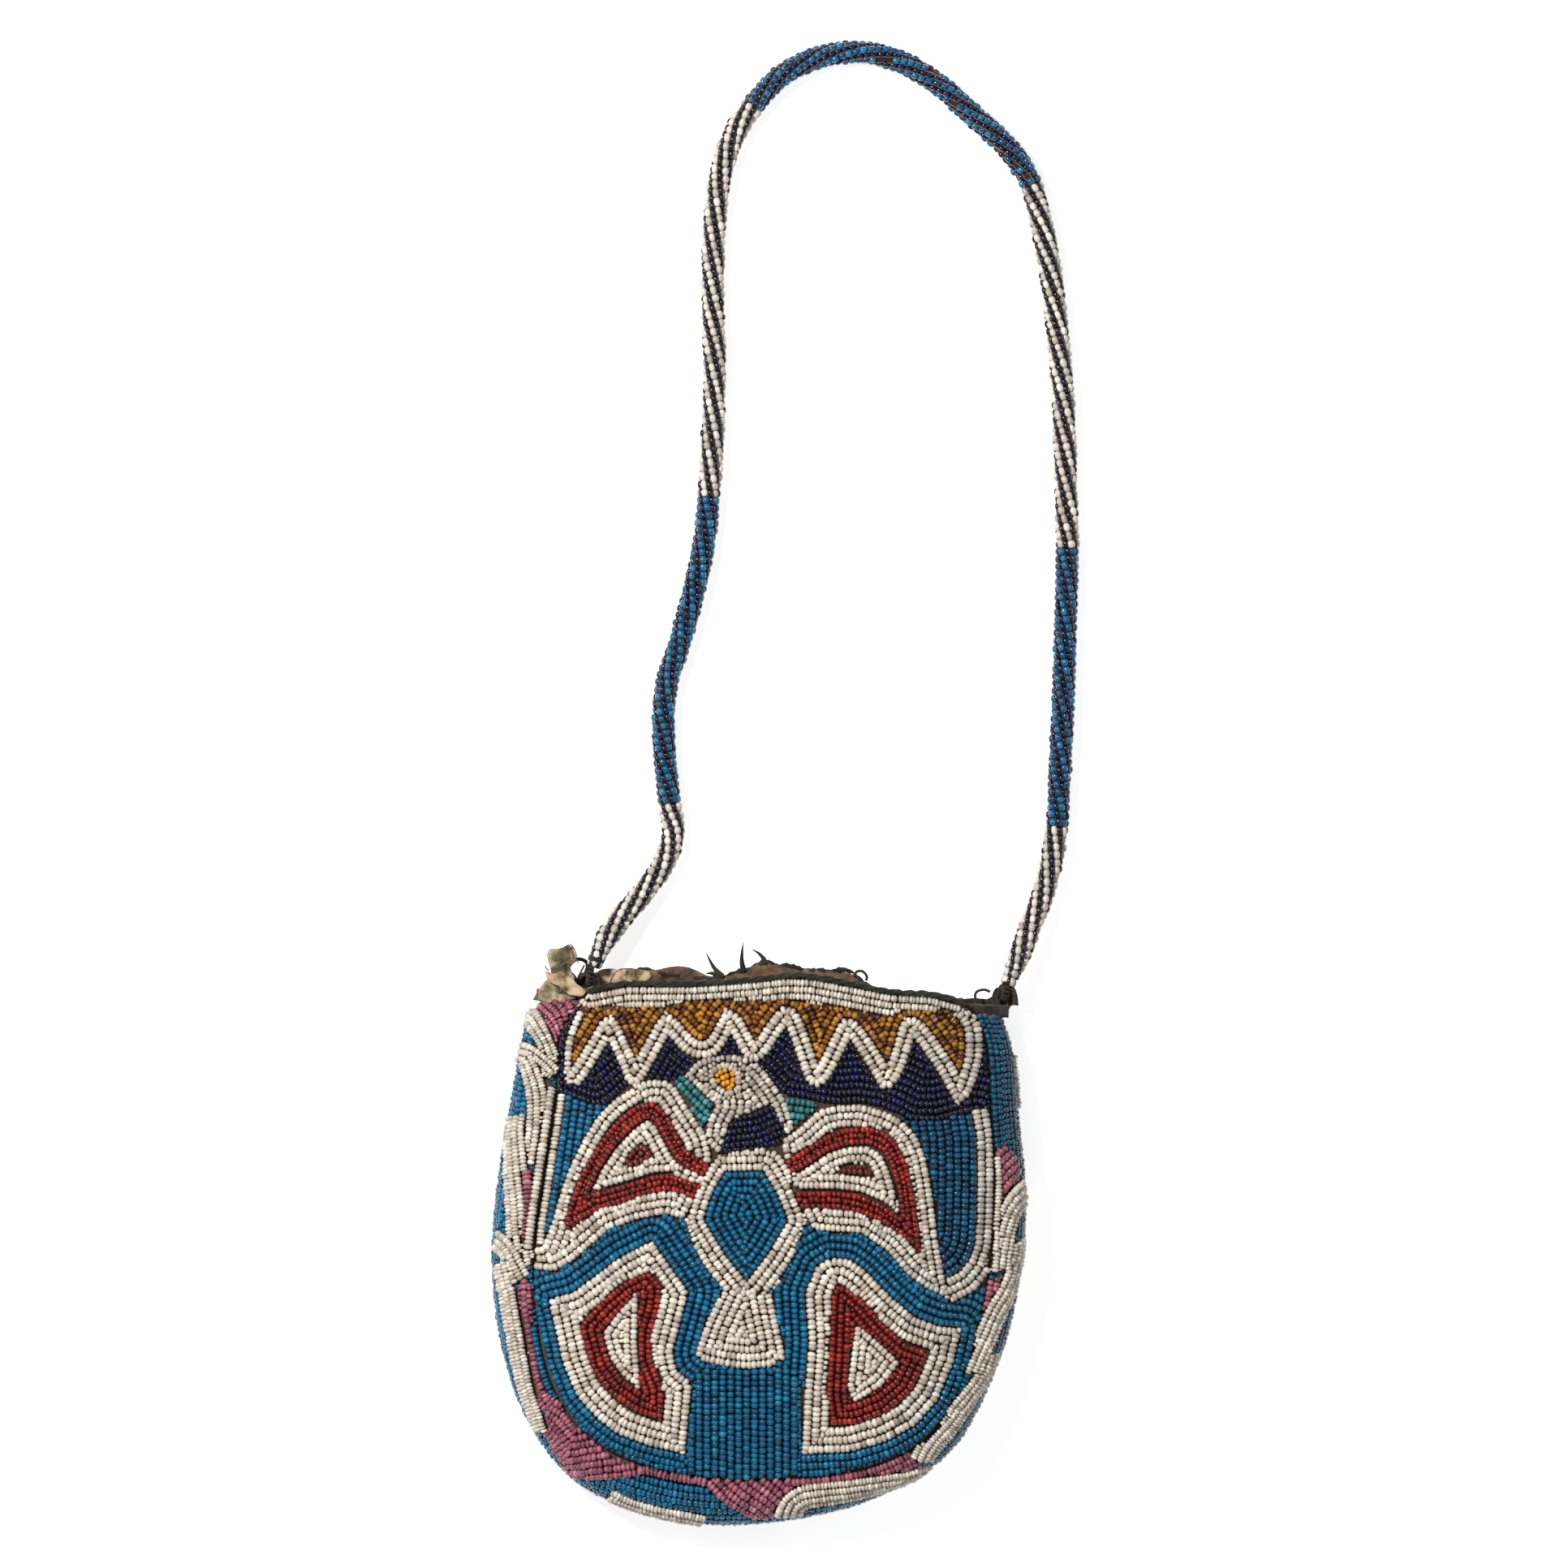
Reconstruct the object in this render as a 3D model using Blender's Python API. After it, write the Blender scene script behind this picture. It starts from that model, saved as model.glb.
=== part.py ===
"""Beaded bag with a beaded rope strap, lying on its back.

The pouch is a cloth bag whose front and back panels are joined by a side band. Glass seed beads
are sewn over the cloth in fields of one colour, a cotton lining hangs inside, and a rope wound
with strings of beads is stitched to both corners of the mouth.

+X is to the right seen from the front, +Y towards the strap and +Z up from the table.
The origin is on the table, under the middle of the whole bag. Outlines are pixel coordinates
read from a straight-on view of the front, which the pouch's width and length turn into metres.
"""

import math

import bpy
import numpy as np
from mathutils import Matrix, Vector
from mathutils.geometry import delaunay_2d_cdt

# Pouch: driving sizes, in metres
POUCH_WIDTH = 0.1505
POUCH_LENGTH = 0.1491
FRONT_SEAM_HEIGHT = 0.022
MOUTH_SEAM_HEIGHT = 0.0165
WIDEST_HEIGHT = 0.0105
BACK_SEAM_HEIGHT = 0.0004
BACK_SEAM_INSET = 0.0095
CROWN_RISE = 0.0095
MOUTH_RISE = 0.006
CROWN_REACH = 0.042
MOUTH_TAPER_LENGTH = 0.055

# Layers of the pouch's wall, from the outside in
BEAD_LAYER = 0.002
CLOTH_THICKNESS = 0.001
LINING_THICKNESS = 0.0008
LAYER_GAP = 0.0004
FIELD_GAP = 0.0003

# Rows of beads that show as ribs of the back and the side band, with a groove between two rows
BEAD_ROW_PITCH = 0.0022
ROW_GROOVE_DEPTH = 0.0008
ROW_FLAT_SHARE = 0.45
BAND_ROWS = 15

# Mesh fineness
GRID_SPACING = 0.0075
EDGE_SPACING = 0.007
STATIONS_PER_SPAN = 3
QUARTER_SPANS = 3
FINE_QUARTER_SPANS = 12

# Strap
STRAP_DIAMETER = 0.0068
STRAP_BORE = 0.0051
CORE_DIAMETER = 0.004
STRAP_SIDES = 8
STRAP_POINT_SPACING = 0.0135
SECTION_GAP = 0.0003
SECTION_LEAD = 0.002
AXIS_HEIGHT = 0.009
FLOOR_CLEARANCE = 0.0001
SLOPE_LENGTH = 0.034

# Fastening of the strap's ends
EYE_RING_RADIUS = 0.0023
EYE_CORD_RADIUS = 0.0011
EYE_RING_STEPS = 12
EYE_CORD_STEPS = 8
EYE_TO_CORE = 0.0003
CORE_TO_BEADS = 0.0009
STITCH_RADIUS = 0.0007
STITCH_SPAN = 0.0068
STITCH_CORNER = 0.0012
STITCH_LEG = 0.0042

# Corner tapes, mouth edge and loose ends
TAPE_DEPTH = 0.0018
TAPE_LOW = 0.0051
TAPE_HIGH = 0.0113
EDGE_BINDING_WIDTH = 0.0018
EDGE_BINDING_DROP = 0.0004
TUFT_THICKNESS = 0.003
THREAD_RADIUS = 0.0004

# Photograph frame: the pixel under the origin, and the pixels that the pouch covers
ORIGIN_PX = (967, 964)
POUCH_WIDTH_PX = 662
POUCH_LENGTH_PX = 656
PIXEL = (POUCH_WIDTH / POUCH_WIDTH_PX, POUCH_LENGTH / POUCH_LENGTH_PX)

# Front seam and widest line at the same places, from the mouth's left corner round to its right
FRONT_SEAM_PX = (
    (714, 1232), (689, 1275), (686, 1340), (671, 1440), (657, 1545), (664, 1650), (690, 1728),
    (745, 1787), (842, 1819), (955, 1823), (1065, 1811), (1145, 1771), (1190, 1690), (1215, 1590),
    (1228, 1480), (1222, 1370), (1217, 1290), (1203, 1250),
)
WIDEST_PX = (
    (660, 1230), (645, 1262), (629, 1345), (613, 1440), (604, 1545), (615, 1655), (650, 1755),
    (718, 1834), (835, 1876), (955, 1877), (1075, 1849), (1172, 1790), (1228, 1690), (1256, 1590),
    (1266, 1480), (1256, 1365), (1249, 1292), (1235, 1250),
)
# Edges of the mouth, from right to left
FRONT_EDGE_PX = (
    (1185, 1239), (1148, 1229), (1098, 1226), (1048, 1216), (1000, 1207), (968, 1206), (926, 1211),
    (854, 1216), (771, 1216), (726, 1225),
)
LINING_EDGE_PX = (
    (1190, 1243), (1150, 1226), (1104, 1222), (1079, 1216), (1061, 1208), (1046, 1202), (1011, 1198),
    (977, 1191), (944, 1189), (936, 1170), (929, 1189), (921, 1190), (916, 1160), (908, 1194),
    (886, 1203), (876, 1174), (868, 1201), (840, 1192), (813, 1192), (790, 1198), (776, 1191),
    (763, 1193), (761, 1217), (724, 1230),
)
BACK_EDGE_PX = ((1180, 1241), (1100, 1228), (1000, 1214), (900, 1216), (800, 1222), (725, 1231))

# Bead fields of the front
BORDER_PX = (
    (700, 1200), (1190, 1200), (1230, 1262), (1187, 1250), (1170, 1243), (1148, 1246), (1120, 1244),
    (1100, 1250), (1079, 1251), (1061, 1248), (1044, 1241), (1001, 1238), (966, 1230), (926, 1234),
    (891, 1233), (865, 1232), (844, 1236), (813, 1240), (758, 1240), (719, 1241), (700, 1236),
)
ZIGZAG_PX = (
    (712, 1236), (701, 1265), (698, 1310), (704, 1331), (718, 1312), (744, 1270), (750, 1262),
    (757, 1274), (775, 1313), (781, 1326), (795, 1304), (817, 1265), (824, 1261), (840, 1278),
    (855, 1291), (875, 1291), (887, 1276), (899, 1255), (910, 1268), (924, 1293), (930, 1297),
    (940, 1288), (967, 1250), (981, 1266), (999, 1316), (1007, 1328), (1020, 1311), (1040, 1271),
    (1047, 1265), (1062, 1281), (1088, 1322), (1094, 1330), (1107, 1307), (1118, 1271), (1125, 1263),
    (1140, 1277), (1172, 1329), (1184, 1347), (1194, 1329), (1202, 1283), (1198, 1257), (1186, 1243),
)
ZIGZAG_WIDTH = 0.0052
NAVY_LEFT_PX = (
    (660, 1250), (700, 1250), (698, 1310), (704, 1331), (718, 1312), (750, 1262), (781, 1326),
    (773, 1337), (756, 1350), (744, 1361), (728, 1361), (711, 1355), (691, 1347), (660, 1340),
)
NAVY_MIDDLE_PX = (
    (824, 1261), (840, 1278), (862, 1291), (858, 1303), (844, 1320), (832, 1330), (795, 1331),
    (781, 1326),
)
NAVY_RIGHT_PX = (
    (930, 1297), (967, 1250), (1007, 1328), (1047, 1265), (1094, 1330), (1125, 1263), (1184, 1347),
    (1202, 1283), (1200, 1250), (1240, 1250), (1240, 1362), (1200, 1370), (1178, 1375), (1157, 1381),
    (1124, 1381), (1105, 1370), (1081, 1361), (1057, 1357), (1031, 1359), (1009, 1356), (987, 1351),
    (966, 1348), (953, 1333), (940, 1318),
)
HEAD_PX = (
    (842, 1324), (858, 1306), (875, 1300), (905, 1298), (928, 1303), (942, 1317), (957, 1337),
    (969, 1355), (980, 1388), (962, 1404), (940, 1414), (885, 1421), (868, 1404), (872, 1378),
    (882, 1360), (862, 1342),
)
EYE_PX = ((880, 1322), (893, 1315), (905, 1322), (906, 1338), (896, 1342), (884, 1334))
LEFT_CHEEK_PX = (
    (836, 1323), (845, 1328), (879, 1359), (875, 1374), (866, 1390), (856, 1374), (848, 1354),
    (831, 1333),
)
RIGHT_CHEEK_PX = ((965, 1351), (988, 1351), (1010, 1360), (994, 1374), (981, 1386), (972, 1368))
COLLAR_PX = ((899, 1380), (946, 1358), (962, 1380), (973, 1401), (940, 1414), (885, 1421))
BODY_BORDER_PX = (
    (884, 1421), (940, 1415), (966, 1424), (982, 1478), (996, 1503), (976, 1548), (957, 1588),
    (920, 1597), (890, 1588), (862, 1550), (843, 1503), (862, 1466), (872, 1440),
)
BODY_PX = (
    (893, 1443), (940, 1442), (956, 1468), (971, 1503), (946, 1545), (920, 1579), (893, 1545),
    (867, 1502), (878, 1470),
)
TAIL_PX = (
    (894, 1588), (920, 1598), (947, 1588), (955, 1612), (963, 1648), (967, 1672), (950, 1683),
    (920, 1686), (890, 1681), (858, 1674), (857, 1664), (870, 1628), (885, 1603),
)
LEFT_WING_PX = (
    (876, 1420), (870, 1396), (848, 1363), (832, 1337), (820, 1329), (795, 1329), (775, 1341),
    (756, 1353), (738, 1370), (722, 1394), (707, 1421), (695, 1449), (685, 1480), (675, 1514),
    (666, 1535), (640, 1540), (640, 1563), (681, 1567), (704, 1554), (729, 1533), (750, 1515),
    (783, 1503), (820, 1496), (842, 1503), (862, 1466), (876, 1440),
)
LEFT_WING_RED_PX = (
    (871, 1452), (850, 1443), (829, 1424), (816, 1400), (806, 1381), (796, 1377), (779, 1388),
    (758, 1410), (738, 1440), (724, 1470), (750, 1463), (782, 1454), (806, 1446), (826, 1445),
    (848, 1453), (868, 1461), (864, 1482), (840, 1472), (822, 1467), (800, 1471), (770, 1481),
    (735, 1492), (712, 1504), (690, 1526), (697, 1488), (712, 1448), (732, 1412), (758, 1378),
    (784, 1359), (806, 1355), (824, 1372), (836, 1398), (848, 1416), (874, 1432),
)
LEFT_WING_INNER_PX = (
    (796, 1379), (806, 1383), (816, 1402), (829, 1426), (846, 1442), (826, 1443), (806, 1444),
    (782, 1452), (750, 1461), (727, 1467), (740, 1440), (759, 1412), (780, 1390),
)
RIGHT_WING_PX = (
    (966, 1424), (962, 1404), (981, 1391), (1009, 1366), (1031, 1360), (1061, 1359), (1092, 1368),
    (1113, 1379), (1131, 1398), (1142, 1424), (1148, 1455), (1153, 1490), (1157, 1524), (1166, 1575),
    (1175, 1604), (1144, 1589), (1119, 1571), (1093, 1541), (1062, 1520), (1001, 1516), (996, 1503),
    (982, 1478),
)
RIGHT_WING_RED_PX = (
    (962, 1432), (988, 1416), (1016, 1398), (1040, 1388), (1068, 1386), (1092, 1392), (1108, 1408),
    (1120, 1434), (1127, 1465), (1132, 1500), (1138, 1546), (1112, 1524), (1084, 1505), (1057, 1495),
    (1030, 1490), (982, 1490), (979, 1467), (1032, 1467), (1060, 1471), (1086, 1482), (1110, 1498),
    (1106, 1466), (1098, 1438), (1088, 1418), (1070, 1409), (1044, 1410), (1020, 1418), (994, 1436),
    (968, 1450),
)
RIGHT_WING_INNER_PX = (
    (994, 1438), (1020, 1420), (1044, 1412), (1069, 1411), (1086, 1420), (1096, 1440), (1104, 1468),
    (1106, 1493), (1087, 1480), (1061, 1469), (1032, 1465), (979, 1465), (974, 1450),
)
LEFT_LOBE_PX = (
    (673, 1600), (704, 1592), (732, 1572), (762, 1549), (803, 1528), (820, 1552), (849, 1592),
    (841, 1622), (829, 1666), (834, 1689), (853, 1704), (844, 1794), (798, 1783), (762, 1770),
    (737, 1752), (709, 1722), (691, 1679), (681, 1633),
)
LEFT_LOBE_RED_PX = (
    (798, 1565), (816, 1584), (813, 1612), (803, 1643), (803, 1674), (818, 1712), (816, 1753),
    (783, 1742), (750, 1720), (727, 1689), (711, 1633), (742, 1600), (768, 1579),
)
LEFT_LOBE_INNER_PX = (
    (786, 1590), (784, 1653), (789, 1714), (768, 1699), (750, 1674), (741, 1643), (760, 1617),
)
RIGHT_LOBE_PX = (
    (1024, 1549), (1047, 1551), (1068, 1566), (1098, 1597), (1129, 1623), (1159, 1634), (1187, 1637),
    (1177, 1679), (1157, 1727), (1129, 1758), (1093, 1778), (1050, 1791), (988, 1794), (991, 1720),
    (996, 1653), (992, 1592), (1006, 1559),
)
RIGHT_LOBE_RED_PX = (
    (1034, 1583), (1047, 1587), (1068, 1605), (1093, 1633), (1119, 1656), (1149, 1666), (1124, 1717),
    (1093, 1743), (1055, 1757), (1024, 1758), (1018, 1720), (1022, 1653), (1024, 1592),
)
RIGHT_LOBE_INNER_PX = (
    (1055, 1630), (1083, 1653), (1111, 1679), (1088, 1709), (1052, 1732), (1044, 1709), (1050, 1666),
)
RIGHT_EDGE_PX = (
    (1196, 1374), (1218, 1365), (1240, 1365), (1240, 1575), (1218, 1582), (1195, 1600), (1175, 1606),
    (1166, 1576), (1185, 1566), (1205, 1541), (1206, 1524), (1207, 1472), (1205, 1407),
)
GROUND_LEFT_PX = ((640, 1342), (750, 1342), (750, 1375), (700, 1500), (672, 1548), (640, 1548))
GROUND_RIGHT_PX = (
    (1100, 1360), (1225, 1360), (1225, 1560), (1166, 1590), (1150, 1450), (1120, 1395),
)
GROUND_LOWER_PX = (
    (630, 1550), (690, 1550), (760, 1490), (820, 1480), (856, 1490), (888, 1560), (955, 1560),
    (985, 1495), (1070, 1505), (1130, 1560), (1172, 1595), (1250, 1570), (1250, 1700), (1180, 1830),
    (930, 1860), (690, 1830), (630, 1650),
)

# Loose ends at the mouth
TUFT_PX = (
    (670, 1229), (672, 1205), (679, 1196), (684, 1206), (691, 1192), (697, 1207), (703, 1197),
    (706, 1212), (707, 1228),
)
MIDDLE_THREAD_PX = ((1052, 1203.5), (1056, 1197), (1063, 1197), (1068, 1203), (1067, 1208.5))
RIGHT_THREAD_PX = ((1203, 1232.8), (1199, 1228), (1203, 1221), (1211, 1221), (1215, 1227))
MIDDLE_THREAD_HEIGHT = 0.0185
LEFT_TAPE_PX = (664, 742)
RIGHT_TAPE_PX = (1198, 1244)

# Strap: where its hinge crosses each end, and its route in sections of one pair of colours
LEFT_END_PX = (727, 1201)
RIGHT_END_PX = (1239, 1219)
STRAP_SECTIONS_PX = (
    (LEFT_END_PX, (745, 1160), (768, 1128), (792, 1100), (818, 1062), (829, 1028), (825, 990)),
    ((825, 990), (818, 920), (820, 850), (838, 790), (857, 720), (868, 665), (873, 612)),
    ((873, 612), (878, 540), (880, 450), (878, 360), (880, 280), (887, 220), (903, 168), (928, 130)),
    ((928, 130), (970, 88), (1035, 65), (1095, 71), (1150, 100), (1200, 143), (1243, 184), (1270, 228)),
    ((1270, 228), (1290, 310), (1302, 400), (1310, 500), (1313, 595), (1315, 675)),
    ((1315, 675), (1313, 760), (1310, 860), (1306, 945), (1302, 1018)),
    ((1302, 1018), (1290, 1085), (1268, 1145), (1251, 1190), RIGHT_END_PX),
)

# Colours, as sRGB, and roughness
CREAM = ((0.88, 0.85, 0.79), 0.35)
CERULEAN = ((0.04, 0.46, 0.64), 0.25)
NAVY = ((0.07, 0.08, 0.29), 0.25)
RED = ((0.60, 0.15, 0.12), 0.3)
AMBER = ((0.78, 0.50, 0.16), 0.3)
PINK = ((0.69, 0.35, 0.48), 0.3)
TURQUOISE = ((0.22, 0.60, 0.61), 0.3)
DARK_CLOTH = ((0.10, 0.09, 0.08), 0.9)
COTTON = ((0.70, 0.60, 0.46), 0.9)
OLIVE = ((0.22, 0.23, 0.15), 0.9)
THREAD = ((0.62, 0.44, 0.28), 0.85)


def clear_scene():
    for obj in list(bpy.data.objects):
        bpy.data.objects.remove(obj, do_unlink=True)


def at(points_px):
    """Pixel places as metres in the table's plane."""
    points = np.asarray(points_px, float)
    return (points - ORIGIN_PX) * (PIXEL[0], -PIXEL[1])


def linear(channel):
    return channel / 12.92 if channel <= 0.04045 else ((channel + 0.055) / 1.055) ** 2.4


def material_for(name, finish):
    colour, roughness = finish
    material = bpy.data.materials.new(name)
    material.use_nodes = True
    shader = material.node_tree.nodes["Principled BSDF"]
    shader.inputs["Base Color"].default_value = (*(linear(c) for c in colour), 1)
    shader.inputs["Roughness"].default_value = roughness
    shader.inputs["Metallic"].default_value = 0
    material.diffuse_color = (*colour, 1)
    return material


def add_object(name, data, finish, parent=None):
    obj = bpy.data.objects.new(name, data)
    bpy.context.scene.collection.objects.link(obj)
    data.materials.append(material_for(name, finish))
    obj.parent = parent
    return obj


def mesh_object(name, vertices, faces, finish, parent=None, smooth_angle=math.radians(40)):
    mesh = bpy.data.meshes.new(name)
    mesh.from_pydata([tuple(v) for v in vertices], [], [tuple(f) for f in faces])
    mesh.shade_smooth()
    mesh.set_sharp_from_angle(angle=smooth_angle)
    return add_object(name, mesh, finish, parent)


def spline(points, steps):
    """A smooth curve through the points, with this many steps from each to the next."""
    points = np.asarray(points, float)
    first = 2 * points[0] - points[1]
    last = 2 * points[-1] - points[-2]
    padded = np.vstack([first, points, last])
    t = (np.arange(steps) / steps)[:, None]
    spans = []
    for a, b, c, d in zip(padded, padded[1:], padded[2:], padded[3:]):
        spans.append(
            b + 0.5 * t * (c - a + t * (2 * a - 5 * b + 4 * c - d + t * (3 * (b - c) + d - a)))
        )
    return np.vstack([*spans, points[-1:]])


def lengths_along(line):
    return np.concatenate([[0], np.cumsum(np.linalg.norm(np.diff(line, axis=0), axis=1))])


def point_at(line, distances):
    along = lengths_along(line)
    return np.stack([np.interp(distances, along, line[:, i]) for i in range(line.shape[1])], axis=1)


def evenly(line, spacing):
    total = lengths_along(line)[-1]
    return point_at(line, np.linspace(0, total, max(2, round(total / spacing) + 1)))


def distance_to(points, line):
    """How far each point is from a line of straight runs."""
    start, run = line[:-1], np.diff(line, axis=0)
    reach = points[:, None, :] - start
    share = np.clip((reach * run).sum(2) / (run * run).sum(1), 0, 1)
    return np.linalg.norm(reach - share[:, :, None] * run, axis=2).min(axis=1)


def counter_clockwise(loop):
    x, y = loop.T
    area = (x * np.roll(y, -1) - np.roll(x, -1) * y).sum()
    return loop if area > 0 else loop[::-1]


def offset_line(line, distance, closed=False):
    """The line moved to its right by a distance, with sharp corners kept short."""
    if closed:
        before, after = line - np.roll(line, 1, axis=0), np.roll(line, -1, axis=0) - line
    else:
        runs = np.diff(line, axis=0)
        before, after = np.vstack([runs[:1], runs]), np.vstack([runs, runs[-1:]])
    before = before / np.linalg.norm(before, axis=1, keepdims=True)
    after = after / np.linalg.norm(after, axis=1, keepdims=True)
    normals = np.stack([before[:, 1] + after[:, 1], -before[:, 0] - after[:, 0]], axis=1)
    stretch = np.maximum(1 + (before * after).sum(1), 0.35)
    return line + distance * normals / stretch[:, None]


def inside_loop(points, loop):
    x, y = points[:, :1], points[:, 1:]
    x1, y1 = loop.T
    x2, y2 = np.roll(loop, -1, axis=0).T
    crosses = (y1 > y) != (y2 > y)
    rise = np.where(y2 == y1, 1, y2 - y1)
    return ((crosses & (x < (x2 - x1) * (y - y1) / rise + x1)).sum(1) % 2).astype(bool)


class Patch:
    """A closed outline in the table's plane."""

    def __init__(self, loop):
        self.loop = counter_clockwise(loop)

    def outline(self, grow=0):
        return offset_line(self.loop, grow, closed=True) if grow else self.loop

    def holds(self, points, grow=0):
        return inside_loop(points, self.outline(grow))


class Strip:
    """A strip of one width along a line."""

    def __init__(self, line, width):
        self.line = line
        self.half_width = width / 2

    def outline(self, grow=0):
        aside = self.half_width + grow
        return np.vstack([offset_line(self.line, aside), offset_line(self.line, -aside)[::-1]])

    def holds(self, points, grow=0):
        return distance_to(points, self.line) < self.half_width + grow


SEAM = spline(at(FRONT_SEAM_PX), STATIONS_PER_SPAN)
WIDEST = spline(at(WIDEST_PX), STATIONS_PER_SPAN)
BACK_SEAM = offset_line(WIDEST, -BACK_SEAM_INSET)
MOUTH_Y = at(FRONT_SEAM_PX[0])[1]
WALL = BEAD_LAYER + CLOTH_THICKNESS + LINING_THICKNESS + 2 * LAYER_GAP
CLOTH_TOP = BEAD_LAYER + LAYER_GAP
LINING_TOP = CLOTH_TOP + CLOTH_THICKNESS + LAYER_GAP


def mouth_share(y):
    """0 on the body of the pouch, rising smoothly to 1 at its mouth."""
    share = np.clip((y - MOUTH_Y) / MOUTH_TAPER_LENGTH + 1, 0, 1)
    return share * share * (3 - 2 * share)


def seam_height(y):
    return FRONT_SEAM_HEIGHT + (MOUTH_SEAM_HEIGHT - FRONT_SEAM_HEIGHT) * mouth_share(y)


def front_height(points):
    """The top of the front's beads: a low crown that rolls down to the seam."""
    up = np.array([0, POUCH_LENGTH])
    line = np.vstack([SEAM[0] + up, SEAM, SEAM[-1] + up])
    share = np.clip(distance_to(points, line) / CROWN_REACH, 0, 1)
    rise = CROWN_RISE + (MOUTH_RISE - CROWN_RISE) * mouth_share(points[:, 1])
    return seam_height(points[:, 1]) + rise * (1 - (1 - share) ** 2)


def panel_loop(side_line, edge_px):
    """A panel's outline: inside a seam line, and along its edge at the mouth."""
    inner = offset_line(side_line, -FIELD_GAP)
    edge = at(edge_px)
    return Patch(np.vstack([inner, edge]))


def largest_piece(faces):
    """The faces of the largest part that hangs together by its edges."""
    owner = list(range(len(faces)))

    def root(i):
        while owner[i] != i:
            owner[i] = owner[owner[i]]
            i = owner[i]
        return i

    seen = {}
    for i, face in enumerate(faces):
        for a, b in zip(face, face[1:] + face[:1]):
            other = seen.setdefault(frozenset((a, b)), i)
            owner[root(i)] = root(other)
    roots = [root(i) for i in range(len(faces))]
    best = max(set(roots), key=roots.count)
    return [face for face, r in zip(faces, roots) if r == best]


def divided(loop):
    """The closed loop with its long runs divided evenly."""
    made = []
    for start, end in zip(loop, np.roll(loop, -1, axis=0)):
        count = max(1, math.ceil(np.linalg.norm(end - start) / EDGE_SPACING))
        made.append(start + (end - start) * (np.arange(count) / count)[:, None])
    return np.vstack(made)


def grid_within(loops):
    """A square grid over the first loop, without the places that are close to any of the loops."""
    low, high = loops[0].min(0), loops[0].max(0)
    low = np.floor(low / GRID_SPACING) * GRID_SPACING
    steps = [np.arange(a, b, GRID_SPACING) for a, b in zip(low, high)]
    grid = np.stack(np.meshgrid(*steps), axis=-1).reshape(-1, 2)
    for loop in loops:
        grid = grid[distance_to(grid, np.vstack([loop, loop[:1]])) > GRID_SPACING / 3]
    return grid


def triangulated(region, cutouts, grow, curved):
    """Points and triangles of the first shape of region, within the others and clear of the cutouts."""
    loops = [shape.outline() for shape in region] + [shape.outline(grow) for shape in cutouts]
    points, edges = [], []
    if curved:
        loops = [divided(loop) for loop in loops]
        points.append(grid_within(loops))
    count = sum(len(part) for part in points)
    for loop in loops:
        edges += [(count + i, count + (i + 1) % len(loop)) for i in range(len(loop))]
        points.append(loop)
        count += len(loop)
    to_unit = 1 / POUCH_WIDTH
    found = delaunay_2d_cdt([tuple(p * to_unit) for p in np.vstack(points)], edges, [], 0, 1e-7)
    places = np.array([tuple(p) for p in found[0]]) / to_unit
    faces = np.array(found[2])
    corners = places[faces]
    sides = corners[:, 1:] - corners[:, :1]
    turned = sides[:, 0, 0] * sides[:, 1, 1] - sides[:, 0, 1] * sides[:, 1, 0] < 0
    faces[turned] = faces[turned][:, ::-1]
    middles = corners.mean(axis=1)
    keep = np.all([shape.holds(middles) for shape in region], axis=0)
    for shape in cutouts:
        keep &= ~shape.holds(middles, grow)
    kept = largest_piece([tuple(int(i) for i in face) for face in faces[keep]])
    used = sorted({i for face in kept for i in face})
    number = {old: new for new, old in enumerate(used)}
    return places[used], [tuple(number[i] for i in face) for face in kept]


def plate(name, finish, region, top, bottom, cutouts=(), grow=0, curved=True):
    """A closed sheet over a region of the table's plane, between two heights."""
    points, faces = triangulated(region, cutouts, grow, curved)
    count = len(points)
    upper = np.column_stack([points, top(points)])
    lower = np.column_stack([points, bottom(points)])
    edges = {(a, b) for face in faces for a, b in zip(face, face[1:] + face[:1])}
    walls = [(b, a, a + count, b + count) for a, b in edges if (b, a) not in edges]
    under = [tuple(i + count for i in reversed(face)) for face in faces]
    return mesh_object(name, np.vstack([upper, lower]), faces + under + sorted(walls), finish)


def front_layer(drop):
    return lambda points: front_height(points) - drop


def level(height):
    return lambda points: np.full(len(points), height)


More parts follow.
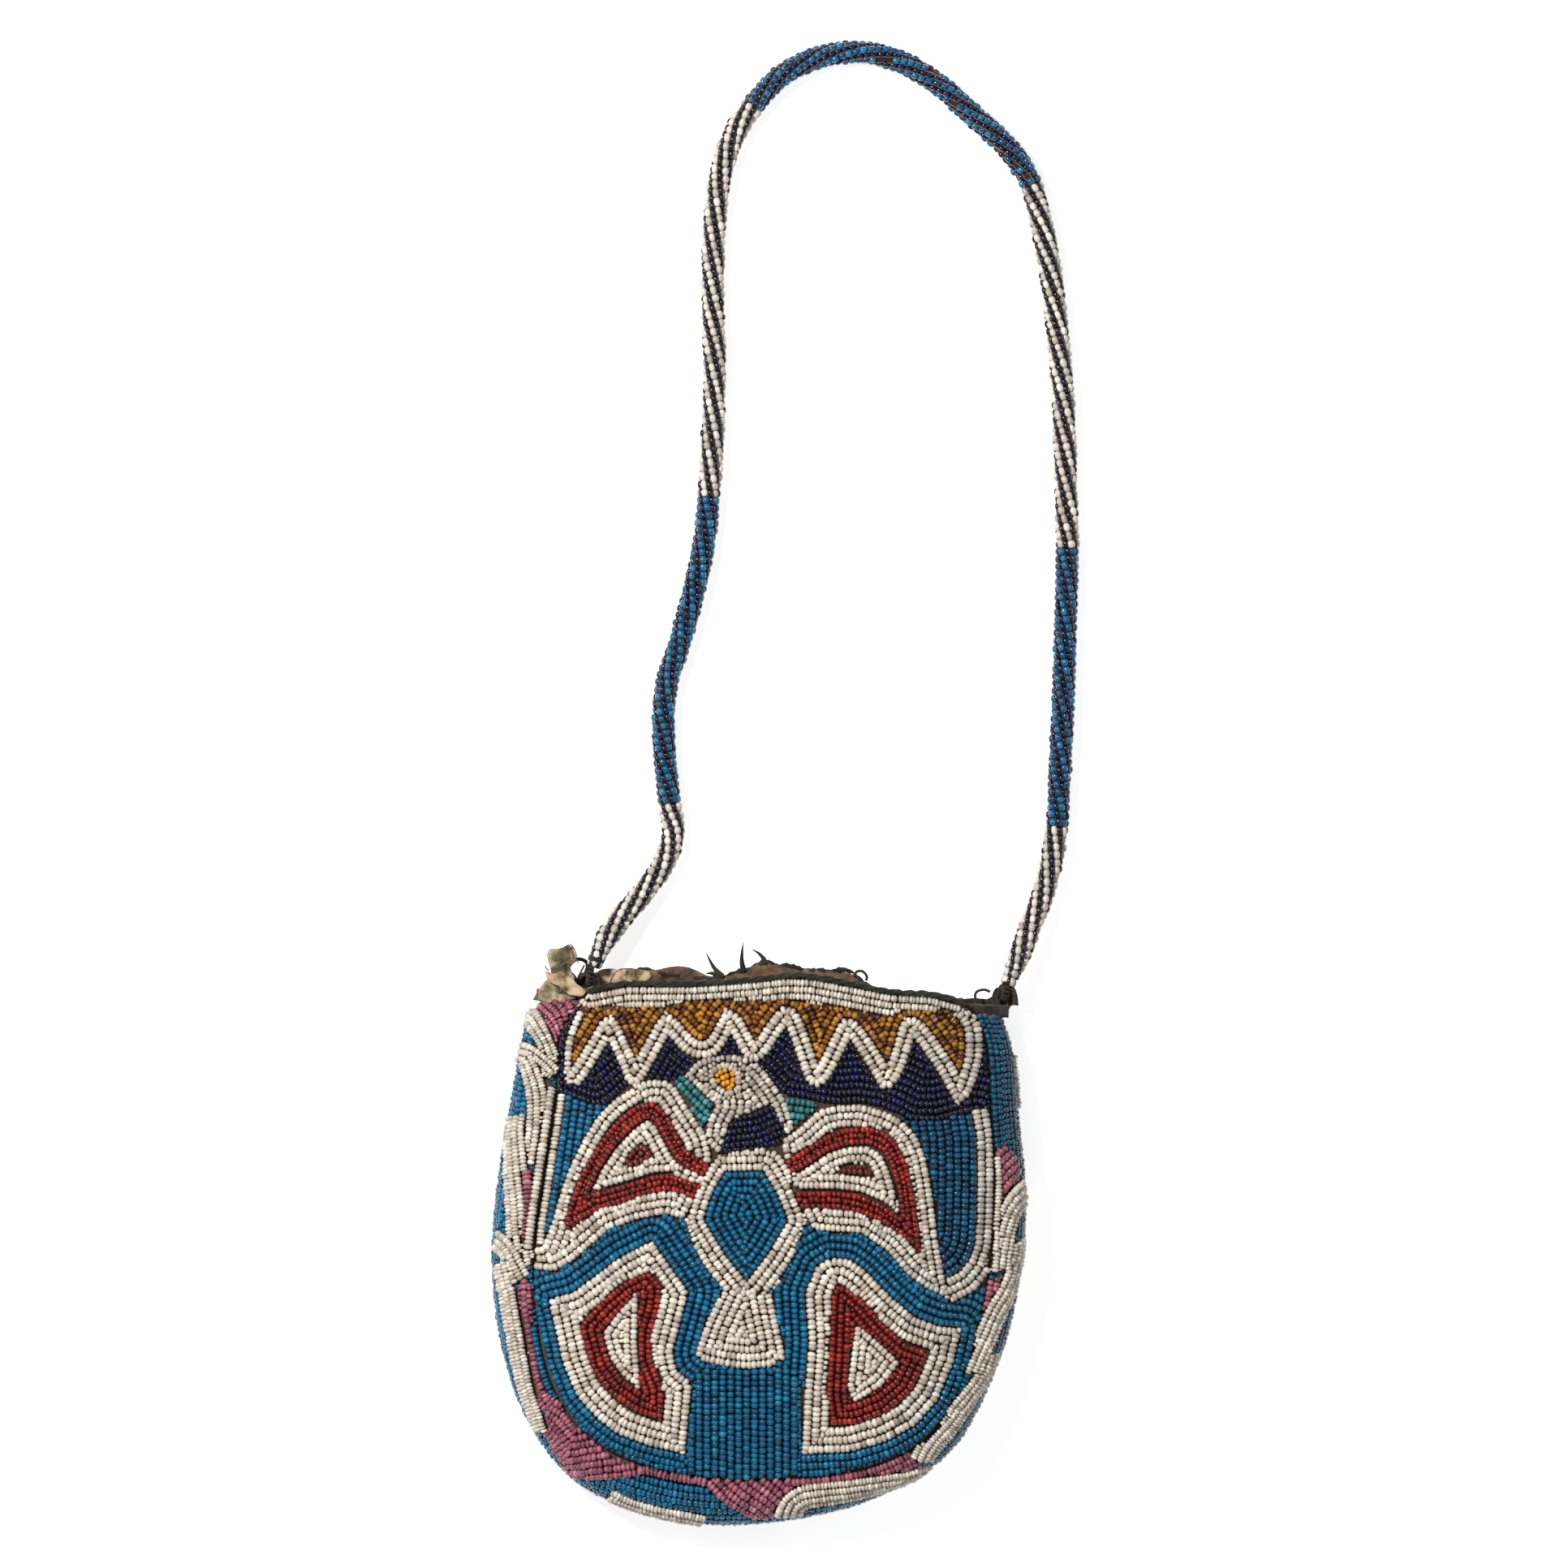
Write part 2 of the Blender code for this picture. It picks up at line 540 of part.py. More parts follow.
FRONT_FIELDS = (
    ("ground_left_beads", CERULEAN, GROUND_LEFT_PX),
    ("ground_right_beads", CERULEAN, GROUND_RIGHT_PX),
    ("ground_lower_beads", CERULEAN, GROUND_LOWER_PX),
    ("navy_left_beads", NAVY, NAVY_LEFT_PX),
    ("navy_middle_beads", NAVY, NAVY_MIDDLE_PX),
    ("navy_right_beads", NAVY, NAVY_RIGHT_PX),
    ("amber_field_beads", AMBER, ((700, 1225), *ZIGZAG_PX, (1192, 1225))),
    ("head_beads", CREAM, HEAD_PX),
    ("left_cheek_beads", TURQUOISE, LEFT_CHEEK_PX),
    ("right_cheek_beads", TURQUOISE, RIGHT_CHEEK_PX),
    ("eye_beads", AMBER, EYE_PX),
    ("collar_beads", NAVY, COLLAR_PX),
    ("left_wing_white_beads", CREAM, LEFT_WING_PX),
    ("right_wing_white_beads", CREAM, RIGHT_WING_PX),
    ("left_wing_red_beads", RED, LEFT_WING_RED_PX),
    ("left_wing_inner_beads", CREAM, LEFT_WING_INNER_PX),
    ("right_wing_red_beads", RED, RIGHT_WING_RED_PX),
    ("right_wing_inner_beads", CREAM, RIGHT_WING_INNER_PX),
    ("body_border_beads", CREAM, BODY_BORDER_PX),
    ("body_beads", CERULEAN, BODY_PX),
    ("tail_beads", CREAM, TAIL_PX),
    ("left_lobe_white_beads", CREAM, LEFT_LOBE_PX),
    ("left_lobe_red_beads", RED, LEFT_LOBE_RED_PX),
    ("left_lobe_inner_beads", CREAM, LEFT_LOBE_INNER_PX),
    ("right_lobe_white_beads", CREAM, RIGHT_LOBE_PX),
    ("right_lobe_red_beads", RED, RIGHT_LOBE_RED_PX),
    ("right_lobe_inner_beads", CREAM, RIGHT_LOBE_INNER_PX),
    ("right_edge_beads", CREAM, RIGHT_EDGE_PX),
)


def make_front():
    """Bead fields in the order they lie: a later field takes its place out of the earlier ones."""
    panel = panel_loop(SEAM, FRONT_EDGE_PX)
    fields = [(name, finish, Patch(at(outline))) for name, finish, outline in FRONT_FIELDS]
    fields.append(("zigzag_beads", CREAM, Strip(spline(at(ZIGZAG_PX), 2), ZIGZAG_WIDTH)))
    fields.append(("border_beads", CREAM, Patch(at(BORDER_PX))))
    for i, (name, finish, shape) in enumerate(fields):
        later = [other for _, _, other in fields[i + 1 :]]
        plate(
            name, finish, [shape, panel], front_layer(0), front_layer(BEAD_LAYER), later, FIELD_GAP
        )
    plate("front_cloth", DARK_CLOTH, [panel], front_layer(CLOTH_TOP),
          front_layer(CLOTH_TOP + CLOTH_THICKNESS))
    lining = panel_loop(SEAM, LINING_EDGE_PX)
    plate("front_lining", COTTON, [lining], front_layer(LINING_TOP), front_layer(WALL))
    edge = spline(np.vstack([SEAM[-1], at(FRONT_EDGE_PX), SEAM[0]]), 2)
    binding = Strip(offset_line(edge, EDGE_BINDING_WIDTH / 2 + FIELD_GAP)[3:-3], EDGE_BINDING_WIDTH)
    plate("front_edge_binding", OLIVE, [binding, lining], front_layer(EDGE_BINDING_DROP),
          front_layer(LINING_TOP - LAYER_GAP), [panel], FIELD_GAP)


def make_back():
    panel = panel_loop(BACK_SEAM, BACK_EDGE_PX)
    ribbed_back(panel.outline())
    layers = (
        ("back_cloth", DARK_CLOTH, CLOTH_TOP, CLOTH_TOP + CLOTH_THICKNESS),
        ("back_lining", COTTON, LINING_TOP, WALL),
    )
    for name, finish, bottom, top in layers:
        plate(name, finish, [panel], level(top), level(bottom), curved=False)


def across(loop, y):
    """The leftmost and rightmost places of an outline at one height of the page."""
    start, end = loop, np.roll(loop, -1, axis=0)
    crossed = (start[:, 1] > y) != (end[:, 1] > y)
    start, end = start[crossed], end[crossed]
    x = start[:, 0] + (y - start[:, 1]) / (end[:, 1] - start[:, 1]) * (end[:, 0] - start[:, 0])
    return x.min(), x.max()


def ribbed_back(loop):
    """The back's beads as straight ribs, one for each row, that stand on flats on the table."""
    low, high = loop[:, 1].min(), loop[:, 1].max()
    rows = round((high - low) / BEAD_ROW_PITCH)
    pitch = (high - low) / rows
    shoulder = (1 - ROW_FLAT_SHARE) / 2
    lines = [(low + pitch * (row + share), ROW_GROOVE_DEPTH if share == 0 else 0)
             for row in range(rows) for share in (0, shoulder, 1 - shoulder)]
    lines = [*lines[1:], (high - shoulder / 2 * pitch, ROW_GROOVE_DEPTH / 2)]
    vertices = []
    for y, height in lines:
        left, right = across(loop, y)
        vertices += [(left, y, height), (right, y, height), (right, y, BEAD_LAYER), (left, y, BEAD_LAYER)]
    faces = [(0, 1, 2, 3)]
    for first in range(0, len(vertices) - 4, 4):
        for a, b in ((0, 1), (1, 2), (2, 3), (3, 0)):
            faces.append((first + b, first + a, first + a + 4, first + b + 4))
    faces.append(tuple(range(len(vertices) - 1, len(vertices) - 5, -1)))
    return mesh_object("back_beads", vertices, faces, CERULEAN)


def band_surface(spans=QUARTER_SPANS):
    """Places and outward directions over the side band: a row for each station of the seam, and a
    column for each step from the front seam over the widest line to the back seam."""
    quarter = np.linspace(0, math.pi / 2, spans + 1)
    sine, cosine = np.sin(quarter)[None, :, None], np.cos(quarter)[None, :, None]
    top, wide, low = (np.column_stack([line, np.zeros(len(line))]) for line in (SEAM, WIDEST, BACK_SEAM))
    top[:, 2], wide[:, 2], low[:, 2] = seam_height(SEAM[:, 1]), WIDEST_HEIGHT, BACK_SEAM_HEIGHT
    top, wide, low = top[:, None], wide[:, None], low[:, None]
    flat, upright = np.array([1, 1, 0]), np.array([0, 0, 1])
    upper = flat * (top + (wide - top) * sine) + upright * (wide + (top - wide) * cosine)
    lower = flat * (wide + (low - wide) * (1 - cosine)) + upright * (wide + (low - wide) * sine)
    upper_run = flat * (wide - top) * cosine + upright * (wide - top) * sine
    lower_run = flat * (low - wide) * sine + upright * (low - wide) * cosine
    places = np.concatenate([upper, lower[:, 1:]], axis=1)
    runs = np.concatenate([upper_run, lower_run[:, 1:]], axis=1)
    outward = np.cross(runs, np.gradient(places, axis=0))
    outward /= np.linalg.norm(outward, axis=2, keepdims=True)
    return places, outward


def shares_across(places):
    """How far across the band each place lies, as a share of the way, at each station."""
    steps = np.linalg.norm(np.diff(places, axis=1), axis=2)
    far = np.concatenate([np.zeros((len(steps), 1)), np.cumsum(steps, axis=1)], axis=1)
    return far / far[:, -1:]


def drawn_in(places):
    """The stretch of band with both ends drawn in by half the gap to the next stretch."""
    places = places.copy()
    for end, inner in ((0, 1), (-1, -2)):
        run = places[inner] - places[end]
        places[end] += run / np.linalg.norm(run, axis=1, keepdims=True) * FIELD_GAP / 2
    return places


def ribbed_band(name, finish, first, last):
    """The band's beads between two stations, with a rib along it for each row of beads."""
    fine, fine_outward = (part[first : last + 1] for part in band_surface(FINE_QUARTER_SPANS))
    plain, plain_outward = (part[first : last + 1] for part in band_surface())
    targets = np.linspace(0, 1, 2 * BAND_ROWS + 1)
    depth = np.where(np.arange(len(targets)) % 2 == 0, ROW_GROOVE_DEPTH, 0)[None, :, None]
    shares = shares_across(fine)
    ribs, out = (
        np.stack([[np.interp(targets, row, part[:, i]) for i in range(3)]
                  for row, part in zip(shares, parts)]).transpose(0, 2, 1)
        for parts in (fine, fine_outward)
    )
    outer = drawn_in(ribs) - out * depth
    inner = drawn_in(plain) - plain_outward * BEAD_LAYER
    stations, columns, inner_columns = len(outer), outer.shape[1], inner.shape[1]
    vertices = np.concatenate([outer.reshape(-1, 3), inner.reshape(-1, 3)])

    def on_top(station, column):
        return station * columns + column

    def below(station, column):
        return stations * columns + station * inner_columns + column

    faces = []
    for a in range(stations - 1):
        b = a + 1
        for c in range(columns - 1):
            faces.append((on_top(a, c), on_top(a, c + 1), on_top(b, c + 1), on_top(b, c)))
        for c in range(inner_columns - 1):
            faces.append((below(a, c + 1), below(a, c), below(b, c), below(b, c + 1)))
        faces.append((below(a, 0), on_top(a, 0), on_top(b, 0), below(b, 0)))
        end, inner_end = columns - 1, inner_columns - 1
        faces.append((on_top(a, end), below(a, inner_end), below(b, inner_end), on_top(b, end)))
    for station in (0, stations - 1):
        cuts = np.round(shares_across(plain)[station] * (columns - 1)).astype(int)
        for c in range(inner_columns - 1):
            crest = [on_top(station, i) for i in range(cuts[c], cuts[c + 1] + 1)]
            cap = (below(station, c + 1), *reversed(crest), below(station, c))
            faces.append(cap[::-1] if station else cap)
    return mesh_object(name, vertices, faces, finish)


def band_piece(name, finish, drop, thickness):
    """A closed sheet of the whole side band."""
    places, outward = band_surface()
    outer, inner = places - outward * drop, places - outward * (drop + thickness)
    rows, columns = outer.shape[:2]
    vertices = np.concatenate([outer, inner]).reshape(-1, 3)

    def index(side, row, column):
        return (side * rows + row) * columns + column

    ring = [(0, c) for c in range(columns)] + [(1, c) for c in reversed(range(columns))]
    faces = []
    for row in range(rows - 1):
        for (side_a, a), (side_b, b) in zip(ring, ring[1:] + ring[:1]):
            faces.append(
                (index(side_a, row, a), index(side_b, row, b),
                 index(side_b, row + 1, b), index(side_a, row + 1, a))
            )
    for column in range(columns - 1):
        faces.append((index(0, 0, column), index(1, 0, column),
                      index(1, 0, column + 1), index(0, 0, column + 1)))
        end = rows - 1
        faces.append((index(0, end, column), index(0, end, column + 1),
                      index(1, end, column + 1), index(1, end, column)))
    return mesh_object(name, vertices, faces, finish)


BAND_SPANS = (
    ("left_band_beads", CREAM, 0, 4),
    ("lower_left_band_beads", PINK, 4, 8),
    ("lower_right_band_beads", CREAM, 8, 12),
    ("right_band_beads", CERULEAN, 12, 17),
)


def make_band():
    for name, finish, first, last in BAND_SPANS:
        ribbed_band(name, finish, first * STATIONS_PER_SPAN, last * STATIONS_PER_SPAN)
    band_piece("side_band_cloth", DARK_CLOTH, CLOTH_TOP, CLOTH_THICKNESS)
    band_piece("side_lining", COTTON, LINING_TOP, LINING_THICKNESS)


def strap_line():
    """The strap's smooth centre line and the length along it at which each section starts and ends."""
    route = [np.append(at(STRAP_SECTIONS_PX[0][0]), AXIS_HEIGHT)]
    marks = [0]
    for section in STRAP_SECTIONS_PX:
        for place in section[1:]:
            route.append(np.append(at(place), 0))
        marks.append(len(route) - 1)
    steps = 12
    line = spline(np.array(route), steps)
    along = lengths_along(line[:, :2])
    floor = STRAP_DIAMETER / 2 + FLOOR_CLEARANCE
    share = np.clip(np.minimum(along, along[-1] - along) / SLOPE_LENGTH, 0, 1)
    line[:, 2] = AXIS_HEIGHT + (floor - AXIS_HEIGHT) * share * share * (3 - 2 * share)
    lengths = lengths_along(line)
    return line, [lengths[mark * steps] for mark in marks]


def section_points(line, start, end):
    """Points along one section, with short straight runs that square its two ends."""
    middle = np.linspace(start + SECTION_LEAD, end - SECTION_LEAD,
                         round((end - start) / STRAP_POINT_SPACING) + 1)
    return point_at(line, np.concatenate([[start], middle, [end]]))


def sleeve(name, points, finish, parent):
    """A tube with a bore, its ends square to the line."""
    runs = np.diff(points, axis=0)
    runs /= np.linalg.norm(runs, axis=1, keepdims=True)
    before, after = np.vstack([runs[:1], runs]), np.vstack([runs, runs[-1:]])
    tangents = before + after
    tangents /= np.linalg.norm(tangents, axis=1, keepdims=True)
    up = np.array([0, 0, 1.0])
    aside = np.cross(tangents, up)
    aside /= np.linalg.norm(aside, axis=1, keepdims=True)
    normal = np.cross(aside, tangents)
    widen = 1 / np.maximum((tangents * after).sum(1, keepdims=True), 0.5)
    turn = (np.arange(STRAP_SIDES) + 0.5) / STRAP_SIDES * 2 * math.pi
    rings = []
    for radius in (STRAP_DIAMETER / 2, STRAP_BORE / 2):
        across = aside[:, None] * widen[:, None] * np.cos(turn)[None, :, None]
        rings.append(points[:, None] + radius * (across + normal[:, None] * np.sin(turn)[None, :, None]))
    count = len(points)
    vertices = np.concatenate(rings).reshape(-1, 3)

    def index(side, row, step):
        return (side * count + row) * STRAP_SIDES + step % STRAP_SIDES

    faces = []
    for step in range(STRAP_SIDES):
        for row in range(count - 1):
            faces.append((index(0, row, step), index(0, row + 1, step),
                          index(0, row + 1, step + 1), index(0, row, step + 1)))
            faces.append((index(1, row, step), index(1, row, step + 1),
                          index(1, row + 1, step + 1), index(1, row + 1, step)))
        faces.append((index(0, 0, step), index(0, 0, step + 1),
                      index(1, 0, step + 1), index(1, 0, step)))
        end = count - 1
        faces.append((index(0, end, step), index(1, end, step),
                      index(1, end, step + 1), index(0, end, step + 1)))
    return mesh_object(name, vertices, faces, finish, parent)


def tube(name, points, radius, finish, parent=None, resolution=2):
    """A closed round tube along a line."""
    curve = bpy.data.curves.new(name, "CURVE")
    curve.dimensions = "3D"
    curve.bevel_depth = radius
    curve.bevel_resolution = resolution
    curve.use_fill_caps = True
    run = curve.splines.new("POLY")
    run.points.add(len(points) - 1)
    for target, place in zip(run.points, points):
        target.co = (*place, 1)
    return add_object(name, curve, finish, parent)


def hinge_frame():
    """The hinge's two ends, its direction, and the level direction away from the pouch."""
    left = np.append(at(LEFT_END_PX), AXIS_HEIGHT)
    right = np.append(at(RIGHT_END_PX), AXIS_HEIGHT)
    along = (right - left) / np.linalg.norm(right - left)
    outward = np.array([-along[1], along[0], 0])
    return left, right, along, outward


def make_strap():
    left, right, along, _ = hinge_frame()
    hinge = bpy.data.objects.new("strap_hinge", None)
    bpy.context.scene.collection.objects.link(hinge)
    hinge.location = (left + right) / 2
    place = Matrix.Translation(-hinge.location)
    line, marks = strap_line()
    core_end = EYE_RING_RADIUS + EYE_CORD_RADIUS + EYE_TO_CORE
    total = marks[-1]
    starts = [mark + SECTION_GAP / 2 for mark in marks[:-1]]
    ends = [mark - SECTION_GAP / 2 for mark in marks[1:]]
    starts[0], ends[-1] = core_end + CORE_TO_BEADS, total - core_end - CORE_TO_BEADS
    sections = [section_points(line, start, end) for start, end in zip(starts, ends)]
    finishes = (CREAM, CERULEAN, CREAM, CERULEAN, CREAM, CERULEAN, CREAM)
    made = []
    for number, (points, finish) in enumerate(zip(sections, finishes), 1):
        made.append(sleeve(f"strap_section_{number}", points, finish, hinge))
    core_ends = point_at(line, [core_end, total - core_end])
    core = np.vstack([core_ends[:1], *sections, core_ends[1:]])
    made.append(tube("strap_core", core, CORE_DIAMETER / 2, THREAD, hinge))
    for side, end in (("left", left), ("right", right)):
        made.append(eye(f"{side}_strap_eye", end, along, hinge))
    for obj in made:
        obj.matrix_parent_inverse = place


def eye(name, centre, along, parent):
    """The ring of thread at the strap's end, square to the hinge."""
    turned = Matrix.Rotation(math.atan2(along[1], along[0]), 3, "Z")
    vertices, faces = [], []
    for i in range(EYE_RING_STEPS):
        a = 2 * math.pi * i / EYE_RING_STEPS
        for j in range(EYE_CORD_STEPS):
            b = 2 * math.pi * j / EYE_CORD_STEPS
            reach = EYE_RING_RADIUS + EYE_CORD_RADIUS * math.cos(b)
            local = (EYE_CORD_RADIUS * math.sin(b), reach * math.cos(a), reach * math.sin(a))
            vertices.append(centre + np.array(turned @ Vector(local)))
            k = (i + 1) % EYE_RING_STEPS
            m = (j + 1) % EYE_CORD_STEPS
            faces.append((i * EYE_CORD_STEPS + j, k * EYE_CORD_STEPS + j,
                          k * EYE_CORD_STEPS + m, i * EYE_CORD_STEPS + m))
    return mesh_object(name, vertices, faces, THREAD, parent)


def make_fastenings():
    """The corner tapes, and the thread staples that hold the strap's eyes to them."""
    left, right, along, outward = hinge_frame()
    up = np.array([0, 0, 1])
    half, corner = STITCH_SPAN / 2, STITCH_CORNER
    seat = STITCH_LEG - FIELD_GAP
    shape = ((-half, -seat), (-half, -corner), (-half + corner * 0.3, -corner * 0.3),
             (-half + corner, 0), (half - corner, 0), (half - corner * 0.3, -corner * 0.3),
             (half, -corner), (half, -seat))
    for side, end, (tape_from, tape_to) in (("left", left, LEFT_TAPE_PX), ("right", right, RIGHT_TAPE_PX)):
        points = [end + along * a + outward * b for a, b in shape]
        tube(f"{side}_strap_stitching", points, STITCH_RADIUS, THREAD)
        reach = [(at((px, 0))[0] - end[0]) / along[0] for px in (tape_from, tape_to)]
        corners = [
            end + along * a - outward * (STITCH_LEG + b) + up * (height - AXIS_HEIGHT)
            for height in (TAPE_LOW, TAPE_HIGH)
            for a, b in ((reach[0], TAPE_DEPTH), (reach[1], TAPE_DEPTH), (reach[1], 0), (reach[0], 0))
        ]
        faces = [(3, 2, 1, 0), (4, 5, 6, 7), (0, 1, 5, 4), (1, 2, 6, 5), (2, 3, 7, 6), (3, 0, 4, 7)]
        mesh_object(f"{side}_corner_tape", corners, faces, OLIVE)


def make_loose_ends():
    low = TAPE_HIGH + FIELD_GAP
    plate("left_frayed_tuft", COTTON, [Patch(at(TUFT_PX))], level(low + TUFT_THICKNESS), level(low),
          curved=False)
    middle = np.column_stack([spline(at(MIDDLE_THREAD_PX), 2), np.zeros(9)])
    middle[:, 2] = MIDDLE_THREAD_HEIGHT
    tube("middle_loose_thread", middle, THREAD_RADIUS, OLIVE)
    right = np.column_stack([spline(at(RIGHT_THREAD_PX), 2), np.zeros(9)])
    right[:, 2] = AXIS_HEIGHT
    tube("right_loose_thread", right, THREAD_RADIUS, OLIVE)


def main():
    clear_scene()
    make_front()
    make_back()
    make_band()
    make_strap()
    make_fastenings()
    make_loose_ends()


main()
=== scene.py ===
"""Looks of the beaded bag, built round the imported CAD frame.

Every bead of the pouch and the strap is its own small closed shape, laid in the rows of the
photograph. A flat map of each beaded surface holds the fields of one colour: rows of beads follow
the fields' outlines on the map, and the map says where each bead lies in metres.
Outlines are pixel coordinates in the photograph's frame of 1932 by 1932.
"""

import copy
import math

import bpy
import numpy as np
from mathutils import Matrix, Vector
from mathutils.geometry import delaunay_2d_cdt


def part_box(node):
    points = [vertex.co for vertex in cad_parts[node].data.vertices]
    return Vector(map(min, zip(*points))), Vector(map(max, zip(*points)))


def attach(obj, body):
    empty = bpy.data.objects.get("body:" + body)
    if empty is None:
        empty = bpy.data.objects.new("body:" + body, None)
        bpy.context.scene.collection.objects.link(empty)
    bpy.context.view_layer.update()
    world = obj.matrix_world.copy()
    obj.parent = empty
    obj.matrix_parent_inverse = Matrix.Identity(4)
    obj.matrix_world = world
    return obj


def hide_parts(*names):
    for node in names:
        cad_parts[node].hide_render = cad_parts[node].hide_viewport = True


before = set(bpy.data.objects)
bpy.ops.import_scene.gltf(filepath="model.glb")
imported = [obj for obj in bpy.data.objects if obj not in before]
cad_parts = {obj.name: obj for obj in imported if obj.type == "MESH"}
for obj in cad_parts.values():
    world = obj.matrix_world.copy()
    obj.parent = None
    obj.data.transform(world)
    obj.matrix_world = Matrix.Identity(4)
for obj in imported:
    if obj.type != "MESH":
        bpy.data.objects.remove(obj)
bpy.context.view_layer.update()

# Photograph frame: the pixel under the CAD origin, and the whole picture
ORIGIN_PX = (967, 964)
PICTURE_PX = 1932

# Front seam and widest line at the same places, from the mouth's left corner round to its right
FRONT_SEAM_PX = (
    (714, 1232), (689, 1275), (686, 1340), (671, 1440), (657, 1545), (664, 1650), (690, 1728),
    (745, 1787), (842, 1819), (955, 1823), (1065, 1811), (1145, 1771), (1190, 1690), (1215, 1590),
    (1228, 1480), (1222, 1370), (1217, 1290), (1203, 1250),
)
WIDEST_PX = (
    (660, 1230), (645, 1262), (629, 1345), (613, 1440), (604, 1545), (615, 1655), (650, 1755),
    (718, 1834), (835, 1876), (955, 1877), (1075, 1849), (1172, 1790), (1228, 1690), (1256, 1590),
    (1266, 1480), (1256, 1365), (1249, 1292), (1235, 1250),
)
STATIONS_PER_SPAN = 3
FINE_STATIONS = 10
BAND_NODES = ("left_band_beads", "lower_left_band_beads", "lower_right_band_beads", "right_band_beads")
BAND_STARTS = (0, 4, 8, 12)

# Heights of the pouch, as in the CAD
FRONT_SEAM_HEIGHT = 0.022
MOUTH_SEAM_HEIGHT = 0.0165
WIDEST_HEIGHT = 0.0105
BACK_SEAM_HEIGHT = 0.0004
BACK_SEAM_INSET = 0.0095
CROWN_RISE = 0.0095
MOUTH_RISE = 0.006
CROWN_REACH = 0.042
MOUTH_TAPER_LENGTH = 0.055
BEAD_LAYER = 0.002
CLOTH_THICKNESS = 0.001
LINING_THICKNESS = 0.0008
LAYER_GAP = 0.0004
CLOTH_TOP = BEAD_LAYER + LAYER_GAP
LINING_TOP = CLOTH_TOP + CLOTH_THICKNESS + LAYER_GAP
WALL = LINING_TOP + LINING_THICKNESS
POUCH_LENGTH_PX = 656

# The least length that anything is divided by, and the least divisor at a sharp corner of a line
# that is moved aside
TINY = 1e-12
SHARPEST_CORNER = 0.35
UP = np.array([0, 0, 1.0])


def spline(points, steps):
    """A smooth curve through the points, with this many steps from each to the next."""
    points = np.asarray(points, float)
    first = 2 * points[0] - points[1]
    last = 2 * points[-1] - points[-2]
    padded = np.vstack([first, points, last])
    t = (np.arange(steps) / steps)[:, None]
    spans = []
    for a, b, c, d in zip(padded, padded[1:], padded[2:], padded[3:]):
        spans.append(
            b + 0.5 * t * (c - a + t * (2 * a - 5 * b + 4 * c - d + t * (3 * (b - c) + d - a)))
        )
    return np.vstack([*spans, points[-1:]])


def lengths_along(line):
    return np.concatenate([[0], np.cumsum(np.linalg.norm(np.diff(line, axis=0), axis=1))])


def point_at(line, distances):
    along = lengths_along(line)
    return np.stack([np.interp(distances, along, line[:, i]) for i in range(line.shape[1])], axis=1)


def evenly(line, spacing):
    total = lengths_along(line)[-1]
    return point_at(line, np.linspace(0, total, max(2, round(total / spacing) + 1)))


def distance_to(points, line):
    """How far each point is from a line of straight runs."""
    start, run = line[:-1], np.diff(line, axis=0)
    nearest = np.full(len(points), np.inf)
    for a, r in zip(start, run):
        reach = points - a
        share = np.clip(reach @ r / max(r @ r, TINY), 0, 1)
        nearest = np.minimum(nearest, np.linalg.norm(reach - share[:, None] * r, axis=1))
    return nearest


def offset_line(line, distance):
    """The line moved to its right by a distance."""
    runs = np.diff(line, axis=0)
    runs = runs / np.linalg.norm(runs, axis=1, keepdims=True)
    before, after = np.vstack([runs[:1], runs]), np.vstack([runs, runs[-1:]])
    normals = np.stack([before[:, 1] + after[:, 1], -before[:, 0] - after[:, 0]], axis=1)
    stretch = np.maximum(1 + (before * after).sum(1), SHARPEST_CORNER)
    return line + distance * normals / stretch[:, None]


def closed(loop):
    return np.vstack([loop, loop[:1]])


def smooth(share):
    share = np.clip(share, 0, 1)
    return share * share * (3 - 2 * share)


def unit(vectors):
    return vectors / np.maximum(np.linalg.norm(vectors, axis=-1, keepdims=True), TINY)


def photo_scale():
    """Metres for one pixel across and down, from the side band's box and its widest line."""
    line = spline(WIDEST_PX, STATIONS_PER_SPAN)
    boxes = [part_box(node) for node in BAND_NODES]
    left, right = min(low.x for low, _ in boxes), max(high.x for _, high in boxes)
    bottom = min(low.y for low, _ in boxes)
    return np.array([
        (right - left) / (line[:, 0].max() - line[:, 0].min()),
        -bottom / (line[:, 1].max() - ORIGIN_PX[1]),
    ])


PIXEL = photo_scale()


def at(points_px):
    """Pixel places as metres in the table's plane."""
    return (np.asarray(points_px, float) - ORIGIN_PX) * (PIXEL[0], -PIXEL[1])


# Pouch surfaces, in metres
SEAM = spline(at(FRONT_SEAM_PX), STATIONS_PER_SPAN)
POUCH_LENGTH = POUCH_LENGTH_PX * PIXEL[1]
MOUTH_Y = at(FRONT_SEAM_PX[0])[1]


def mouth_share(y):
    """0 on the body of the pouch, rising smoothly to 1 at its mouth."""
    return smooth((y - MOUTH_Y) / MOUTH_TAPER_LENGTH + 1)


def seam_height(y):
    return FRONT_SEAM_HEIGHT + (MOUTH_SEAM_HEIGHT - FRONT_SEAM_HEIGHT) * mouth_share(y)


def front_height(points):
    """The top of the front's beads: a low crown that rolls down to the seam."""
    up = np.array([0, POUCH_LENGTH])
    line = np.vstack([SEAM[0] + up, SEAM, SEAM[-1] + up])
    share = np.clip(distance_to(points, line) / CROWN_REACH, 0, 1)
    rise = CROWN_RISE + (MOUTH_RISE - CROWN_RISE) * mouth_share(points[:, 1])
    return seam_height(points[:, 1]) + rise * (1 - (1 - share) ** 2)


def front_place(points_px):
    flat = at(points_px)
    return np.column_stack([flat, front_height(flat)])


def back_place(points_px):
    flat = at(points_px)
    return np.column_stack([flat, np.zeros(len(flat))])


